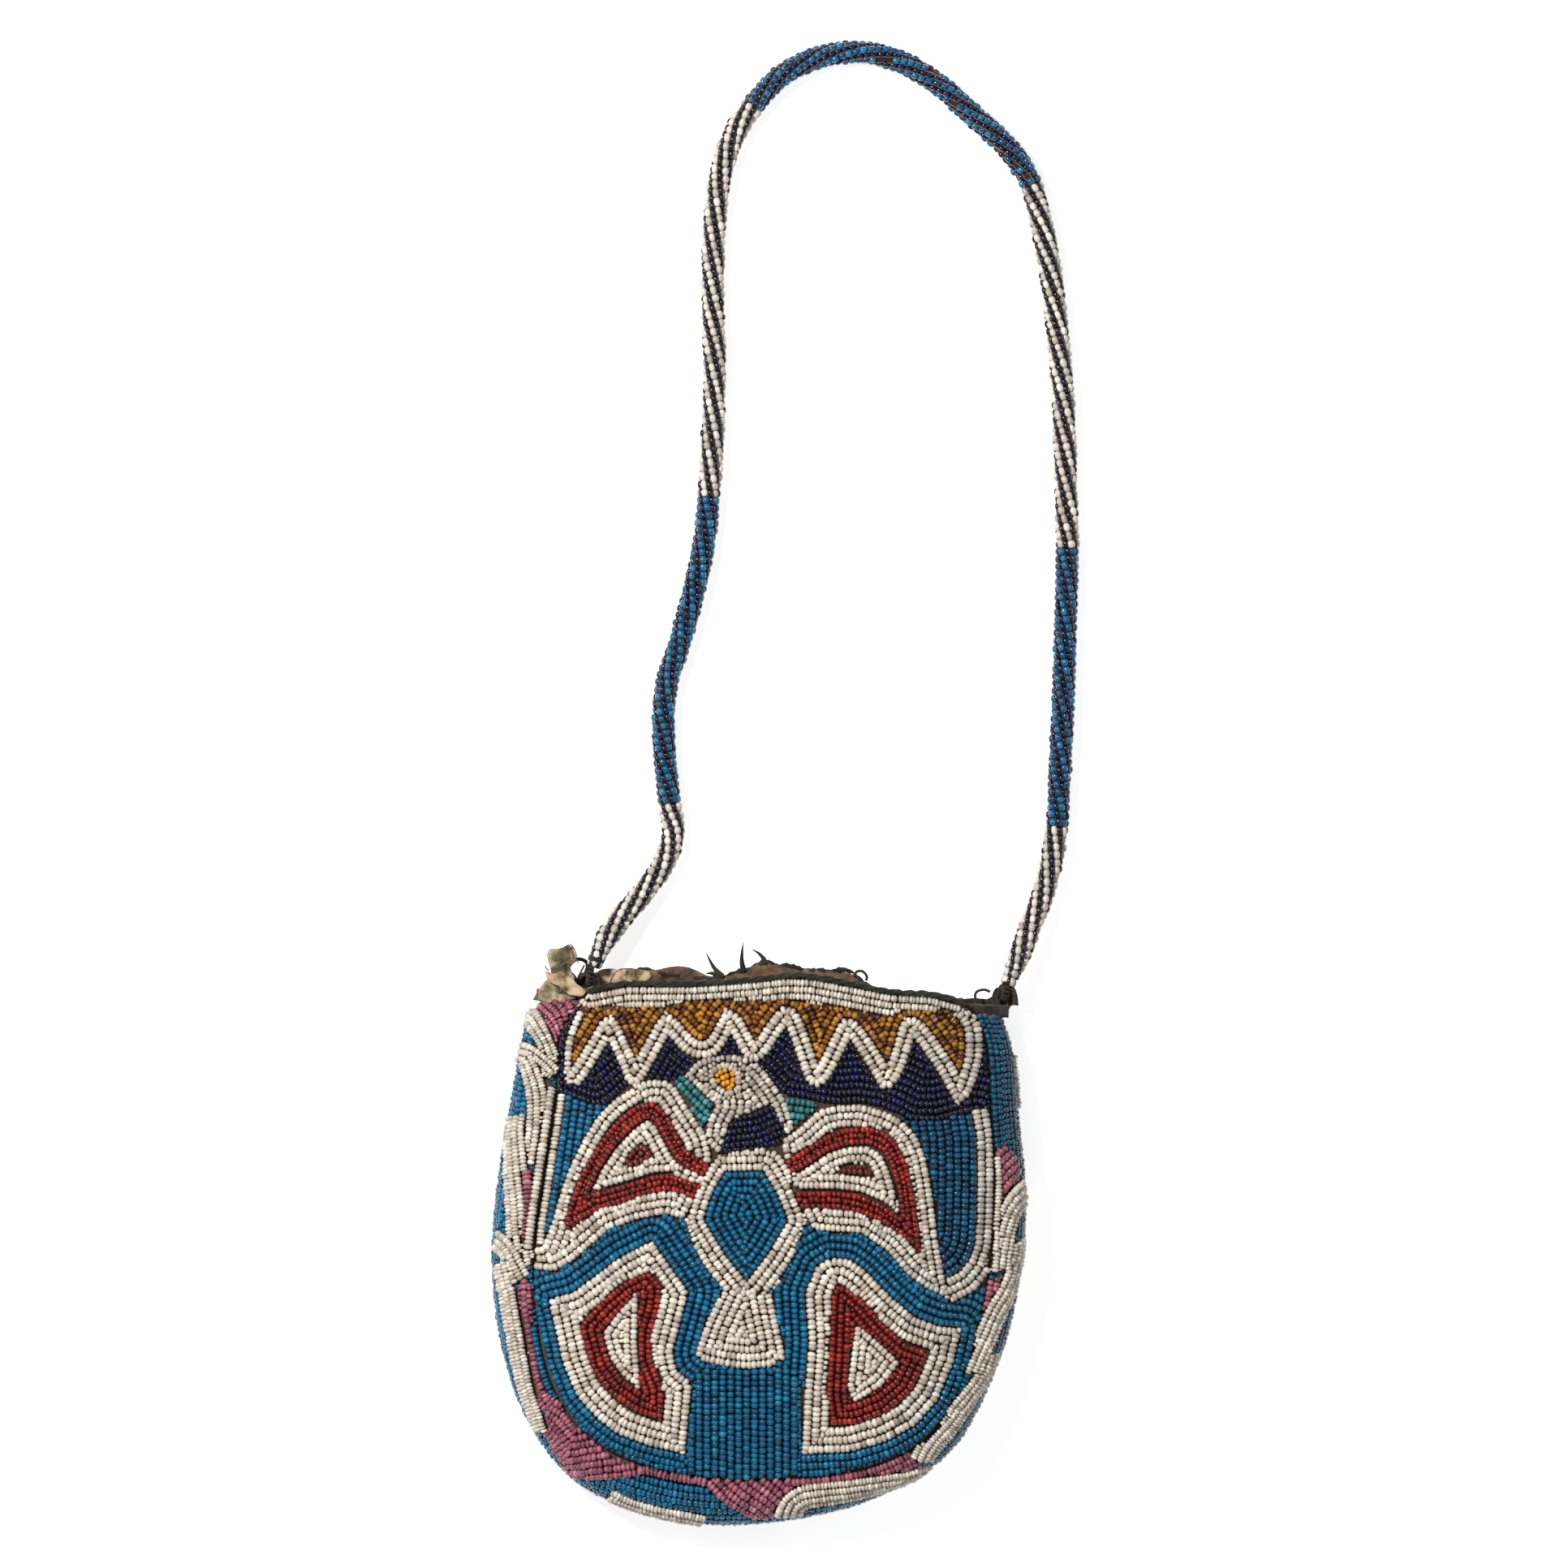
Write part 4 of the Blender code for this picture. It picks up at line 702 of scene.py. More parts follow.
# Side band, over its blue rows: fields with the guide of their rows, none where these follow the band
BAND_FIELDS = (
    (PINK_CORNER, (
        (640, 1219), (714, 1219), (716, 1236), (706, 1254), (698, 1268), (695, 1290), (688, 1290),
        (682, 1276), (670, 1262), (657, 1250), (645, 1240),
    ), ((655, 1236), (664, 1245), (676, 1256), (685, 1271), (690, 1290))),
    (NAVY, (
        (716, 1240), (704, 1256), (699, 1268), (694, 1288), (687, 1300), (679, 1316), (683, 1328),
        (687, 1344), (700, 1344), (700, 1290), (718, 1244),
    ), None),
    (PINK, (
        (636, 1578), (652, 1576), (655, 1600), (656, 1635), (654, 1650), (656, 1662), (661, 1682),
        (665, 1697), (671, 1711), (683, 1723), (684, 1740), (663, 1738), (660, 1722), (655, 1705),
        (650, 1685), (646, 1663), (645, 1645), (640, 1640), (638, 1618), (636, 1600),
    ), ((640, 1578), (640, 1612), (647, 1650), (655, 1697), (668, 1728), (676, 1738))),
    (PINK, (
        (672, 1737), (683, 1723), (701, 1735), (717, 1756), (732, 1776), (742, 1788), (762, 1799),
        (784, 1806), (788, 1819), (762, 1823), (732, 1826), (707, 1825), (694, 1817), (680, 1793),
        (666, 1770), (670, 1748),
    ), ((650, 1800), (707, 1826), (732, 1827), (762, 1824), (800, 1818))),
    (PINK, (
        (870, 1820), (922, 1816), (960, 1818), (982, 1818), (978, 1836), (966, 1854), (956, 1873),
        (936, 1877), (915, 1870), (895, 1857), (874, 1840),
    ), ((850, 1812), (868, 1830), (895, 1858), (936, 1880))),
    (PINK, (
        (973, 1816), (1016, 1812), (1040, 1809), (1072, 1805), (1092, 1800), (1106, 1795), (1127, 1788),
        (1140, 1808), (1120, 1821), (1085, 1826), (1040, 1826), (1006, 1829), (978, 1836),
    ), None),
    (PINK, (
        (1227, 1412), (1240, 1412), (1253, 1422), (1262, 1440), (1260, 1456), (1250, 1468), (1243, 1480),
        (1235, 1488), (1231, 1475), (1229, 1450),
    ), ((1225, 1490), (1243, 1480), (1262, 1456))),
    (PINK, ((1217, 1578), (1243, 1567), (1236, 1590), (1226, 1606), (1209, 1618), (1205, 1604)), None),
)

# Strings laid over the side band, each with its number of rows and the line along its middle
BAND_STRINGS = (
    (BAND_CREAM, 3, ((645, 1243), (656, 1260), (666, 1275), (673, 1289), (678, 1302), (681, 1314))),
    (BAND_CREAM, 3, ((640, 1296), (652, 1299), (663, 1307), (673, 1315), (682, 1325))),
    (BAND_CREAM, 3, ((646, 1306), (655, 1328), (660, 1348), (661, 1368), (660, 1390), (657, 1412),
                     (653, 1436))),
    (BAND_CREAM, 4, ((632, 1374), (629, 1395), (630, 1415), (632, 1445), (635, 1470), (637, 1490),
                     (638, 1515), (642, 1537), (646, 1560))),
    (BAND_CREAM, 3, ((609, 1528), (620, 1538), (628, 1551), (635, 1565), (641, 1576))),
    (BAND_CREAM, 3, ((612, 1556), (616, 1572), (620, 1590), (624, 1604))),
    (BAND_CREAM, 3, ((621, 1588), (625, 1609), (628, 1628), (632, 1647), (635, 1666), (639, 1686),
                     (643, 1705), (648, 1724), (654, 1738), (659, 1753), (664, 1766))),
    (PINK_LINE, 1, ((784, 1812), (800, 1812), (818, 1816), (836, 1821), (854, 1823), (870, 1827))),
    (BAND_CREAM, 3, ((750, 1845), (778, 1857), (813, 1867), (844, 1873), (866, 1877))),
    (BAND_CREAM, 4, ((972, 1870), (977, 1857), (990, 1848), (1006, 1845), (1040, 1841), (1064, 1837),
                     (1089, 1832), (1114, 1826), (1139, 1816))),
    (BAND_CREAM, 4, ((1137, 1801), (1144, 1788), (1156, 1773), (1172, 1756), (1187, 1735), (1200, 1718),
                     (1212, 1701), (1221, 1685), (1226, 1668))),
    (BAND_CREAM, 4, ((1197, 1692), (1203, 1677), (1210, 1662), (1218, 1645), (1225, 1628), (1233, 1612),
                     (1242, 1597), (1249, 1580), (1253, 1564), (1258, 1547), (1259, 1528))),
    (BAND_CREAM, 4, ((1264, 1470), (1255, 1481), (1247, 1494), (1242, 1508), (1238, 1522), (1235, 1537),
                     (1232, 1552), (1231, 1566))),
    (BAND_CREAM, 1, ((1229, 1424), (1231, 1452), (1230, 1480), (1228, 1510), (1224, 1542))),
    (BAND_CREAM, 1, ((1254, 1298), (1257, 1320), (1260, 1345), (1261, 1366))),
    (PINK_LINE, 1, ((648, 1440), (649.5, 1455), (650, 1476), (650, 1496), (648.5, 1515), (647, 1532))),
    (SEAM_CREAM, 1, ((680, 1338), (677, 1356), (673.5, 1380), (669.5, 1405), (665.5, 1430),
                     (661.5, 1455), (657.5, 1480), (653.5, 1510), (650, 1540))),
)
# Where puckered cloth shows between the strings
BAND_BARE_PX = ((665, 1323), (673, 1327), (682, 1334), (677, 1338), (669, 1333))


# Steps of smooth curves from each of their points to the next, and how far apart the points of
# guides, outlines and strings lie when they are taken over to the band's map, in pixels
SEAM_STEPS = 4
ZIGZAG_STEPS = 2
LEG_STEPS = 3
GUIDE_STEPS = 6
STRING_STEPS = 3
BAND_GUIDE_STEP = 4
BAND_OUTLINE_STEP = 5
BAND_STRING_STEP = 8
BAND_STRING_MAP_STEP = 3


def outline_of(points_px):
    return closed(np.asarray(points_px, float))


def strip_loop(line, width):
    return np.vstack([offset_line(line, width / 2), offset_line(line, -width / 2)[::-1]])


NECK_LINE_PX = ((968, 1405), (940, 1417), (884, 1424))
LEFT_CHEEK_LINE_PX = ((840, 1322), (858, 1342), (877, 1360))
RIGHT_CHEEK_LINE_PX = ((962, 1349), (1012, 1356))
SEAM_PX = spline(FRONT_SEAM_PX, SEAM_STEPS)
LEG_PX = spline(LEFT_LEG_PX, LEG_STEPS)
ZIGZAG_LINE_PX = spline(ZIGZAG_PX, ZIGZAG_STEPS)
LEG_WIDTH_PX = 10.6
RIGHT_EDGE_INNER_PX = (
    (1198, 1362), (1205, 1400), (1206, 1450), (1205, 1500), (1203, 1532), (1196, 1552), (1184, 1567),
    (1166, 1576), (1150, 1578),
)
NAVY_LEFT_LOWER_PX = (
    (660, 1340), (691, 1347), (711, 1355), (728, 1361), (744, 1361), (756, 1350), (783, 1326),
)
NAVY_RIGHT_LOWER_PX = (
    (940, 1318), (953, 1333), (966, 1348), (987, 1351), (1009, 1356), (1031, 1359), (1057, 1357),
    (1081, 1361), (1105, 1370), (1124, 1381), (1157, 1381), (1178, 1375), (1205, 1368),
)
MIDDLE_COLUMN_PX = ((920, 1600), (920, 1900))
TAIL_SIDES_PX = (
    (890, 1586), (870, 1628), (857, 1664), (856, 1676), (890, 1684), (920, 1688), (950, 1685),
    (969, 1676), (963, 1648), (950, 1588),
)

# Every field of the front in the order it lies: later ones take their place out of earlier ones.
# Each has the CAD node that it replaces, its sort of bead, its outline, its rows' guide lines, none
# where these follow its own outline, and how far from them its first row starts.
FRONT_FIELDS = (
    ("ground_left_beads", BLUE.sized(9.4), GROUND_LEFT_PX, (SEAM_PX,), 0.5),
    ("ground_left_beads", CREAM.sized(9.6, 5), SEAM_COLUMN_PX, (SEAM_PX,), 0.5),
    # Painted shade: the right ground takes a darker copy of the ground's blue
    ("ground_right_beads", SHADED_GROUND_BLUE, GROUND_RIGHT_PX, (RIGHT_EDGE_INNER_PX,), 0),
    ("ground_lower_beads", BLUE.sized(9.6), GROUND_LOWER_PX,
     (outline_of(LEFT_LOBE_PX), outline_of(RIGHT_LOBE_PX)), 0),
    ("ground_lower_beads", BLUE, MIDDLE_GROUND_PX, (MIDDLE_COLUMN_PX,), -4.9),
    ("navy_left_beads", NAVY, NAVY_LEFT_PX, (NAVY_LEFT_LOWER_PX,), 0),
    ("navy_middle_beads", NAVY, NAVY_MIDDLE_PX, (ZIGZAG_LINE_PX,), 11.5),
    ("navy_middle_beads", NAVY.sized(7.8, 5.8), NAVY_SMALL_PX, (NAVY_SMALL_PX[3:],), 0),
    ("navy_right_beads", NAVY, NAVY_RIGHT_PX, (NAVY_RIGHT_LOWER_PX,), 0),
    ("amber_field_beads", AMBER, AMBER_PX, (ZIGZAG_LINE_PX,), 11.5),
    ("head_beads", GREY, HEAD_PX, None, 0),
    ("head_beads", GREY, EYE_RING_PX, (outline_of(EYE_PX),), 0),
    ("left_cheek_beads", TURQUOISE, LEFT_CHEEK_PX, (LEFT_CHEEK_LINE_PX,), -2),
    ("right_cheek_beads", TURQUOISE, RIGHT_CHEEK_PX, (RIGHT_CHEEK_LINE_PX,), 0),
    ("eye_beads", EYE_AMBER, EYE_PX, (EYE_PX[3:5],), -2),
    ("collar_beads", NAVY.sized(8.1), COLLAR_PX, (NECK_LINE_PX,), 0),
    ("left_wing_white_beads", CREAM.sized(9.7), LEFT_WING_PX, None, 0),
    ("right_wing_white_beads", CREAM.sized(9.3), RIGHT_WING_PX, None, 0),
    ("left_wing_red_beads", RED, LEFT_WING_RED_PX, None, 0),
    ("left_wing_inner_beads", CREAM, LEFT_WING_INNER_PX, None, 0),
    ("right_wing_red_beads", RED, RIGHT_WING_RED_PX, None, 0),
    ("right_wing_inner_beads", CREAM, RIGHT_WING_INNER_PX, None, 0),
    ("left_wing_inner_beads", DARK_RED, LEFT_CENTRE_PX, None, 0),
    ("right_wing_inner_beads", DARK_RED, RIGHT_CENTRE_PX, None, 0),
    ("body_border_beads", CREAM, BODY_BORDER_PX, (outline_of(BODY_PX),), 0),
    ("body_beads", BLUE.sized(9.2), BODY_PX, None, 0),
    ("tail_beads", CREAM, TAIL_PX, (TAIL_SIDES_PX,), 0),
    ("left_lobe_white_beads", LOBE_CREAM, LEFT_LOBE_PX, None, 0),
    ("left_lobe_red_beads", RED.sized(8.8), LEFT_LOBE_RED_PX, None, 0),
    ("left_lobe_inner_beads", CREAM.sized(9), LEFT_LOBE_INNER_PX, None, 0),
    ("right_lobe_white_beads", LOBE_CREAM, RIGHT_LOBE_PX, None, 0),
    ("right_lobe_red_beads", RED.sized(8.8), RIGHT_LOBE_RED_PX, None, 0),
    ("right_lobe_inner_beads", CREAM.sized(9), RIGHT_LOBE_INNER_PX, None, 0),
    ("right_edge_beads", EDGE_CREAM, RIGHT_EDGE_PX, (RIGHT_EDGE_INNER_PX,), 0),
    ("zigzag_beads", CREAM, strip_loop(LEG_PX, LEG_WIDTH_PX), (LEG_PX,), -4.9),
    ("zigzag_beads", ZIGZAG_CREAM, strip_loop(ZIGZAG_LINE_PX, ZIGZAG_WIDTH_PX), (ZIGZAG_LINE_PX,), 0),
    ("border_beads", BORDER_CREAM, BORDER_PX, (FRONT_EDGE_PX,), 0),
)

# Fields of pale beads are laid first, so that their edges stay crisp
LAY_ORDER = ("cream_beads", "red_beads", "turquoise_beads", "amber_beads", "navy_beads", "cerulean_beads")

FRONT_LOW_PX = (590, 1170)
FRONT_HIGH_PX = (1290, 1900)
# Painted shade that deepens the tints towards the right side: from which pixel, over how many pixels, and by
# what share
FRONT_PAINTED_SHADE = (1050, 200, 0.13)
BAND_PAINTED_SHADE = (1130, 100, 0.3)


def with_painted_shade(tints, across_px, shade):
    """Painted shade: tints that grow deeper towards the right side, as in the photograph."""
    start, span, share = shade
    return tints * (1 - share * smooth((across_px - start) / span)[:, None])


def tube_faces(rings, sides):
    """Quads of a tube whose corners are numbered ring by ring, and the caps at its two ends."""
    quads = []
    for ring in range(rings - 1):
        here, there = ring * sides, (ring + 1) * sides
        for i in range(sides):
            k = (i + 1) % sides
            quads.append((here + i, there + i, there + k, here + k))
    last = (rings - 1) * sides
    return quads, [tuple(range(sides)), tuple(last + i for i in reversed(range(sides)))]


def turned_over(faces):
    """The faces as seen from their other side, each from the same first corner."""
    return [(face[0], *face[:0:-1]) for face in faces]


def around(sides):
    """The angles of a ring's corners."""
    return np.arange(sides) / sides * 2 * math.pi


def bead_shape(sides, rings):
    """A unit bead round the X axis: its points, and its faces as rows of corner numbers."""
    points = [(x, r * math.cos(a), r * math.sin(a)) for x, r in rings for a in around(sides)]
    quads, caps = tube_faces(len(rings), sides)
    return np.array(points), np.array(quads), caps


FINE_BEAD = bead_shape(8, (
    (-1, 0.4), (-0.88, 0.69), (-0.52, 0.93), (0, 1.02), (0.52, 0.93), (0.88, 0.69), (1, 0.4),
))
PLAIN_BEAD = bead_shape(6, ((-0.95, 0.62), (-0.45, 0.97), (0.45, 0.97), (0.95, 0.62)))


# The standard's own numbers for turning sRGB into linear values
SRGB_CURVE = (0.04045, 12.92, 0.055, 2.4)


def linear(colours):
    colours = np.asarray(colours, float)
    low, slope, offset, power = SRGB_CURVE
    return np.where(colours <= low, colours / slope, ((colours + offset) / (1 + offset)) ** power)


def bead_object(name, centres, along, across, normal, sizes, tints, material, shape=FINE_BEAD):
    """One object of many beads. Sizes are each bead's half length, half width and half height."""
    points, quads, caps = shape
    count, each = len(centres), len(points)
    scaled = points[None] * sizes[:, None]
    places = (centres[:, None] + scaled[..., :1] * along[:, None] + scaled[..., 1:2] * across[:, None]
              + scaled[..., 2:] * normal[:, None])
    first = (np.arange(count) * each)[:, None]
    corners = (first[:, :, None] + quads[None]).reshape(count, -1)
    ends = (first + np.concatenate(caps)[None]).reshape(count, -1)
    loops = np.concatenate([corners, ends], axis=1).reshape(-1)
    sizes_of = np.concatenate([np.full(len(quads), 4), [len(cap) for cap in caps]])
    totals = np.tile(sizes_of, count)
    mesh = bpy.data.meshes.new(name)
    mesh.vertices.add(count * each)
    mesh.vertices.foreach_set("co", places.reshape(-1).astype(np.float32))
    mesh.loops.add(len(loops))
    mesh.loops.foreach_set("vertex_index", loops.astype(np.int32))
    mesh.polygons.add(len(totals))
    starts = np.concatenate([[0], np.cumsum(totals)[:-1]])
    mesh.polygons.foreach_set("loop_start", starts.astype(np.int32))
    mesh.polygons.foreach_set("use_smooth", np.ones(len(totals), bool))
    mesh.update(calc_edges=True)
    tint = mesh.attributes.new("tint", "FLOAT_COLOR", "POINT")
    colours = np.column_stack([linear(tints), np.ones(count)])
    tint.data.foreach_set("color", np.repeat(colours, each, axis=0).reshape(-1).astype(np.float32))
    mesh.materials.append(material)
    return add_object(name, mesh)


def add_object(name, data):
    obj = bpy.data.objects.new(name, data)
    bpy.context.scene.collection.objects.link(obj)
    return obj


def directions(chart, points, angles):
    """Places, and stretched directions along a row, across it and out of the surface."""
    runs = np.column_stack([np.cos(angles), np.sin(angles)])
    turns = np.column_stack([-runs[:, 1], runs[:, 0]])
    along, across = (chart.place(points + way / 2) - chart.place(points - way / 2) for way in (runs, turns))
    return chart.place(points), along, across, unit(np.cross(along, across)) * chart.outward


def beads_from(name, chart, laid, kind, tints, rng, shape=FINE_BEAD, lifts=0):
    """One object of the beads laid on a map, resting on the cloth under them or lifted above it."""
    laid = np.array(laid)
    count = len(laid)
    turned = laid[:, 2] + BEAD_TURN * rng.normal(size=count)
    centre, along, across, normal = directions(chart, laid[:, :2], turned)
    long = np.linalg.norm(along, axis=1) * laid[:, 3] / 2
    wide = np.linalg.norm(across, axis=1) * laid[:, 4] / 2
    high = PIXEL.mean() * laid[:, 4] / 2
    tilt = BEAD_TILT * rng.normal(size=(count, 1))
    axis = unit(unit(along) + tilt * normal)
    side = unit(np.cross(normal, axis))
    normal = unit(np.cross(axis, side))
    lift = lifts - CLOTH_TOP + BEAD_LIFT * rng.normal(size=count)
    centre = centre + normal * (lift + high)[:, None]
    sizes = np.column_stack([long * BEAD_LENGTH_SHARE, wide * BEAD_WIDTH_SHARE, high * BEAD_WIDTH_SHARE])
    return bead_object(name, centre, axis, side, normal, sizes, tints, BEAD_MATERIALS[kind.slot], shape)


BEAD_LENGTH_SHARE = 1.01
BEAD_WIDTH_SHARE = 0.99
# How far beads stray: their turn on the cloth and tilt out of it in radians, and their height
BEAD_TURN = 0.07
BEAD_TILT = 0.09
BEAD_LIFT = 0.00008


# Materials
def new_material(name, roughness, **values):
    material = bpy.data.materials.new(name)
    material.use_nodes = True
    shader = material.node_tree.nodes["Principled BSDF"]
    shader.inputs["Roughness"].default_value = roughness
    for socket, value in values.items():
        shader.inputs[socket.replace("_", " ")].default_value = value
    return material, material.node_tree, shader


def add_node(tree, kind, **values):
    node = tree.nodes.new(kind)
    for key, value in values.items():
        if hasattr(node, key):
            setattr(node, key, value)
        else:
            node.inputs[key.replace("_", " ")].default_value = value
    return node


CLOTH_ROUGHNESS = 0.92
# Scale of the weave of thread and cord, and the part of a noise's range that it really fills
FINE_THREADS = 1500
NOISE_RANGE = {"From_Min": 0.3, "From_Max": 0.7}
# Where the patches of wear turn from stained to dark and to light cloth
WEAR_STOPS = (0.36, 0.48, 0.62)


def wire(tree, source, output, target, socket):
    tree.links.new(source.outputs[output], target.inputs[socket])


def surface(tree, shader, colour, shade, relief, strength, depth):
    """Gives the shader a colour scaled by a shade, and bumps of a strength and depth."""
    mixed = add_node(tree, "ShaderNodeVectorMath", operation="SCALE")
    wire(tree, colour, "Color", mixed, 0)
    wire(tree, shade, "Result", mixed, "Scale")
    wire(tree, mixed, "Vector", shader, "Base Color")
    bump = add_node(tree, "ShaderNodeBump", Strength=strength, Distance=depth)
    wire(tree, *relief, bump, "Height")
    wire(tree, bump, "Normal", shader, "Normal")


def bead_material(name, roughness):
    """Glazed glass: each bead's own tint, faintly mottled, with small pits in its gloss."""
    material, tree, shader = new_material(name, roughness, IOR=1.5, Specular_IOR_Level=0.3,
                                          Coat_Weight=0.8, Coat_Roughness=0.11)
    tint = add_node(tree, "ShaderNodeAttribute", attribute_name="tint")
    coordinates = add_node(tree, "ShaderNodeTexCoord")
    noise = add_node(tree, "ShaderNodeTexNoise", Scale=900, Detail=3)
    wire(tree, coordinates, "Object", noise, "Vector")
    spread = add_node(tree, "ShaderNodeMapRange", To_Min=0.88, To_Max=1.08, **NOISE_RANGE)
    wire(tree, noise, "Fac", spread, "Value")
    gloss = add_node(tree, "ShaderNodeMapRange", To_Min=roughness * 0.75, To_Max=roughness * 1.4,
                     **NOISE_RANGE)
    wire(tree, noise, "Fac", gloss, "Value")
    wire(tree, gloss, "Result", shader, "Roughness")
    surface(tree, shader, tint, spread, (noise, "Fac"), strength=0.12, depth=0.0002)
    return material


def woven_material(name, dark, light, stain=None, threads=900):
    """Woven cotton: crossing threads as bump and shade, with soft patches of wear."""
    material, tree, shader = new_material(name, CLOTH_ROUGHNESS, Sheen_Weight=0.15)
    coordinates = add_node(tree, "ShaderNodeTexCoord")
    weave = add_node(tree, "ShaderNodeMath", operation="MAXIMUM")
    for socket, direction in enumerate(("X", "Y")):
        wave = add_node(tree, "ShaderNodeTexWave", bands_direction=direction, Scale=threads,
                        Distortion=1.2, Detail=1)
        wire(tree, coordinates, "Object", wave, "Vector")
        wire(tree, wave, "Fac", weave, socket)
    patches = add_node(tree, "ShaderNodeTexNoise", Scale=140, Detail=6, Roughness=0.65)
    wire(tree, coordinates, "Object", patches, "Vector")
    ramp = add_node(tree, "ShaderNodeValToRGB")
    stops = ramp.color_ramp.elements
    stops.new(WEAR_STOPS[1])
    for stop, position, colour in zip(stops, WEAR_STOPS, (stain or dark, dark, light)):
        stop.position = position
        stop.color = (*linear(colour), 1)
    wire(tree, patches, "Fac", ramp, "Fac")
    shade = add_node(tree, "ShaderNodeMapRange", To_Min=0.62, To_Max=1.05)
    wire(tree, weave, "Value", shade, "Value")
    surface(tree, shader, ramp, shade, (weave, "Value"), strength=0.6, depth=0.0003)
    return material


BEAD_MATERIALS = {
    slot: bead_material(slot + "_glass", roughness)
    for slot, roughness in (
        ("cream_beads", 0.32), ("cerulean_beads", 0.22), ("navy_beads", 0.2), ("red_beads", 0.25),
        ("amber_beads", 0.25), ("turquoise_beads", 0.25), ("pink_beads", 0.28),
    )
}
# Each cloth's or thread's dark and light colour, and the colour of its stains where it has any
# The backing cloth's dark brown is partly its own colour and partly painted shade, kept dark so the gaps
# between beads look shaded
DARK_CLOTH = woven_material("dark_backing_cloth", (0.30, 0.22, 0.16), (0.38, 0.29, 0.21))
COTTON = woven_material("cotton_lining_cloth", (0.43, 0.31, 0.21), (0.6, 0.46, 0.32), (0.2, 0.17, 0.12))
PALE_COTTON = woven_material("pale_cotton_cloth", (0.85, 0.73, 0.58), (0.95, 0.86, 0.72), (0.38, 0.32, 0.22))
OLIVE = woven_material("olive_binding_cloth", (0.15, 0.14, 0.1), (0.25, 0.22, 0.16), (0.07, 0.065, 0.05))
GREEN_CLOTH = woven_material("worn_green_cloth", (0.5, 0.46, 0.33), (0.88, 0.8, 0.66), (0.2, 0.2, 0.13))
DARK_CORD, BROWN_THREAD, TAN_THREAD = (
    woven_material(name, dark, light, threads=FINE_THREADS) for name, dark, light in (
        ("dark_cord", (0.13, 0.1, 0.085), (0.22, 0.16, 0.12)),
        ("brown_thread", (0.3, 0.21, 0.15), (0.42, 0.3, 0.21)),
        ("tan_thread", (0.6, 0.44, 0.33), (0.72, 0.55, 0.42)),
    )
)


def finish_piece(obj, body, node):
    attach(obj, body)
    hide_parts(node)
    return obj


def row_piece_name(node, slot):
    return node.replace("_beads", "_") + slot.replace("_beads", "_bead_rows")


def lay_field(chart, number, guides, kind, start, rng):
    """A field's beads: rows along its guide lines, then the room that they left."""
    laid = chart.lay(number, chart.contours(number, guides, kind.pitch, start), kind, rng)
    for least, size in FILL_PASSES:
        laid = chart.fill(number, laid, kind, least, size)
    return laid


def make_front_beads():
    """Beads of every field of the front, one piece for each CAD field and colour."""
    chart = Map(FRONT_LOW_PX, FRONT_HIGH_PX, front_place, -1)
    for number, (_, _, outline, _, _) in enumerate(FRONT_FIELDS):
        chart.paint(number, outline)
    inside = Map(FRONT_LOW_PX, FRONT_HIGH_PX, front_place, -1)
    inside.paint(1, np.vstack([SEAM_PX, FRONT_EDGE_PX]))
    chart.owner[inside.owner < 0] = -1
    rng = np.random.default_rng(11)
    pieces = {}
    order = sorted(range(len(FRONT_FIELDS)), key=lambda i: LAY_ORDER.index(FRONT_FIELDS[i][1].slot))
    for number in order:
        node, kind, outline, guides, start = FRONT_FIELDS[number]
        guides = [np.asarray(guide, float) for guide in guides or [outline_of(outline)]]
        laid = lay_field(chart, number, guides, kind, start, rng)
        if laid:
            # Painted shade: the tints deepen towards the right side.
            tints = with_painted_shade(kind.tints(len(laid), rng), np.array(laid)[:, 0], FRONT_PAINTED_SHADE)
            pieces.setdefault((node, kind.slot), []).append((laid, kind, tints))
    for (node, slot), parts in pieces.items():
        laid = [bead for beads, _, _ in parts for bead in beads]
        tints = np.vstack([tint for _, _, tint in parts])
        obj = beads_from(row_piece_name(node, slot), chart, laid, parts[0][1], tints, rng)
        finish_piece(obj, "pouch", node)


def band_fields():
    """The band's fields and strings on its map: those that the picture shows, and their mirror image
    on the half that lies towards the back. Each is its sort of bead, its outline, its rows' guide,
    how far from it the first row starts, and half the width of a string."""
    edge = np.array([[0, 0], [BAND.u[-1], 0]])
    fields = []
    for turn in (lambda points: points, BAND.mirrored):
        for kind, outline, guide in BAND_FIELDS:
            rows = edge
            if guide:
                rows = turn(BAND.from_picture(evenly(spline(guide, GUIDE_STEPS), BAND_GUIDE_STEP)))
            loop = turn(BAND.from_picture(evenly(outline_of(outline), BAND_OUTLINE_STEP)))
            fields.append((kind, loop, rows, 0, 0))
        for kind, rows, string in BAND_STRINGS:
            found = BAND.from_picture(evenly(spline(string, GUIDE_STEPS), BAND_STRING_STEP))
            line = turn(evenly(spline(found, STRING_STEPS), BAND_STRING_MAP_STEP))
            start = 0 if rows % 2 == 0 else -kind.pitch / 2
            width = rows * kind.pitch * STRING_ROOM_SHARE
            fields.append((kind, strip_loop(line, width), line, start, width / 2))
    return [(BLUE, None, edge, 0, 0), *fields]


STRING_ROOM_SHARE = 1.04
STRING_LIFT = 0.0003
STRING_BULGE = 0.0007


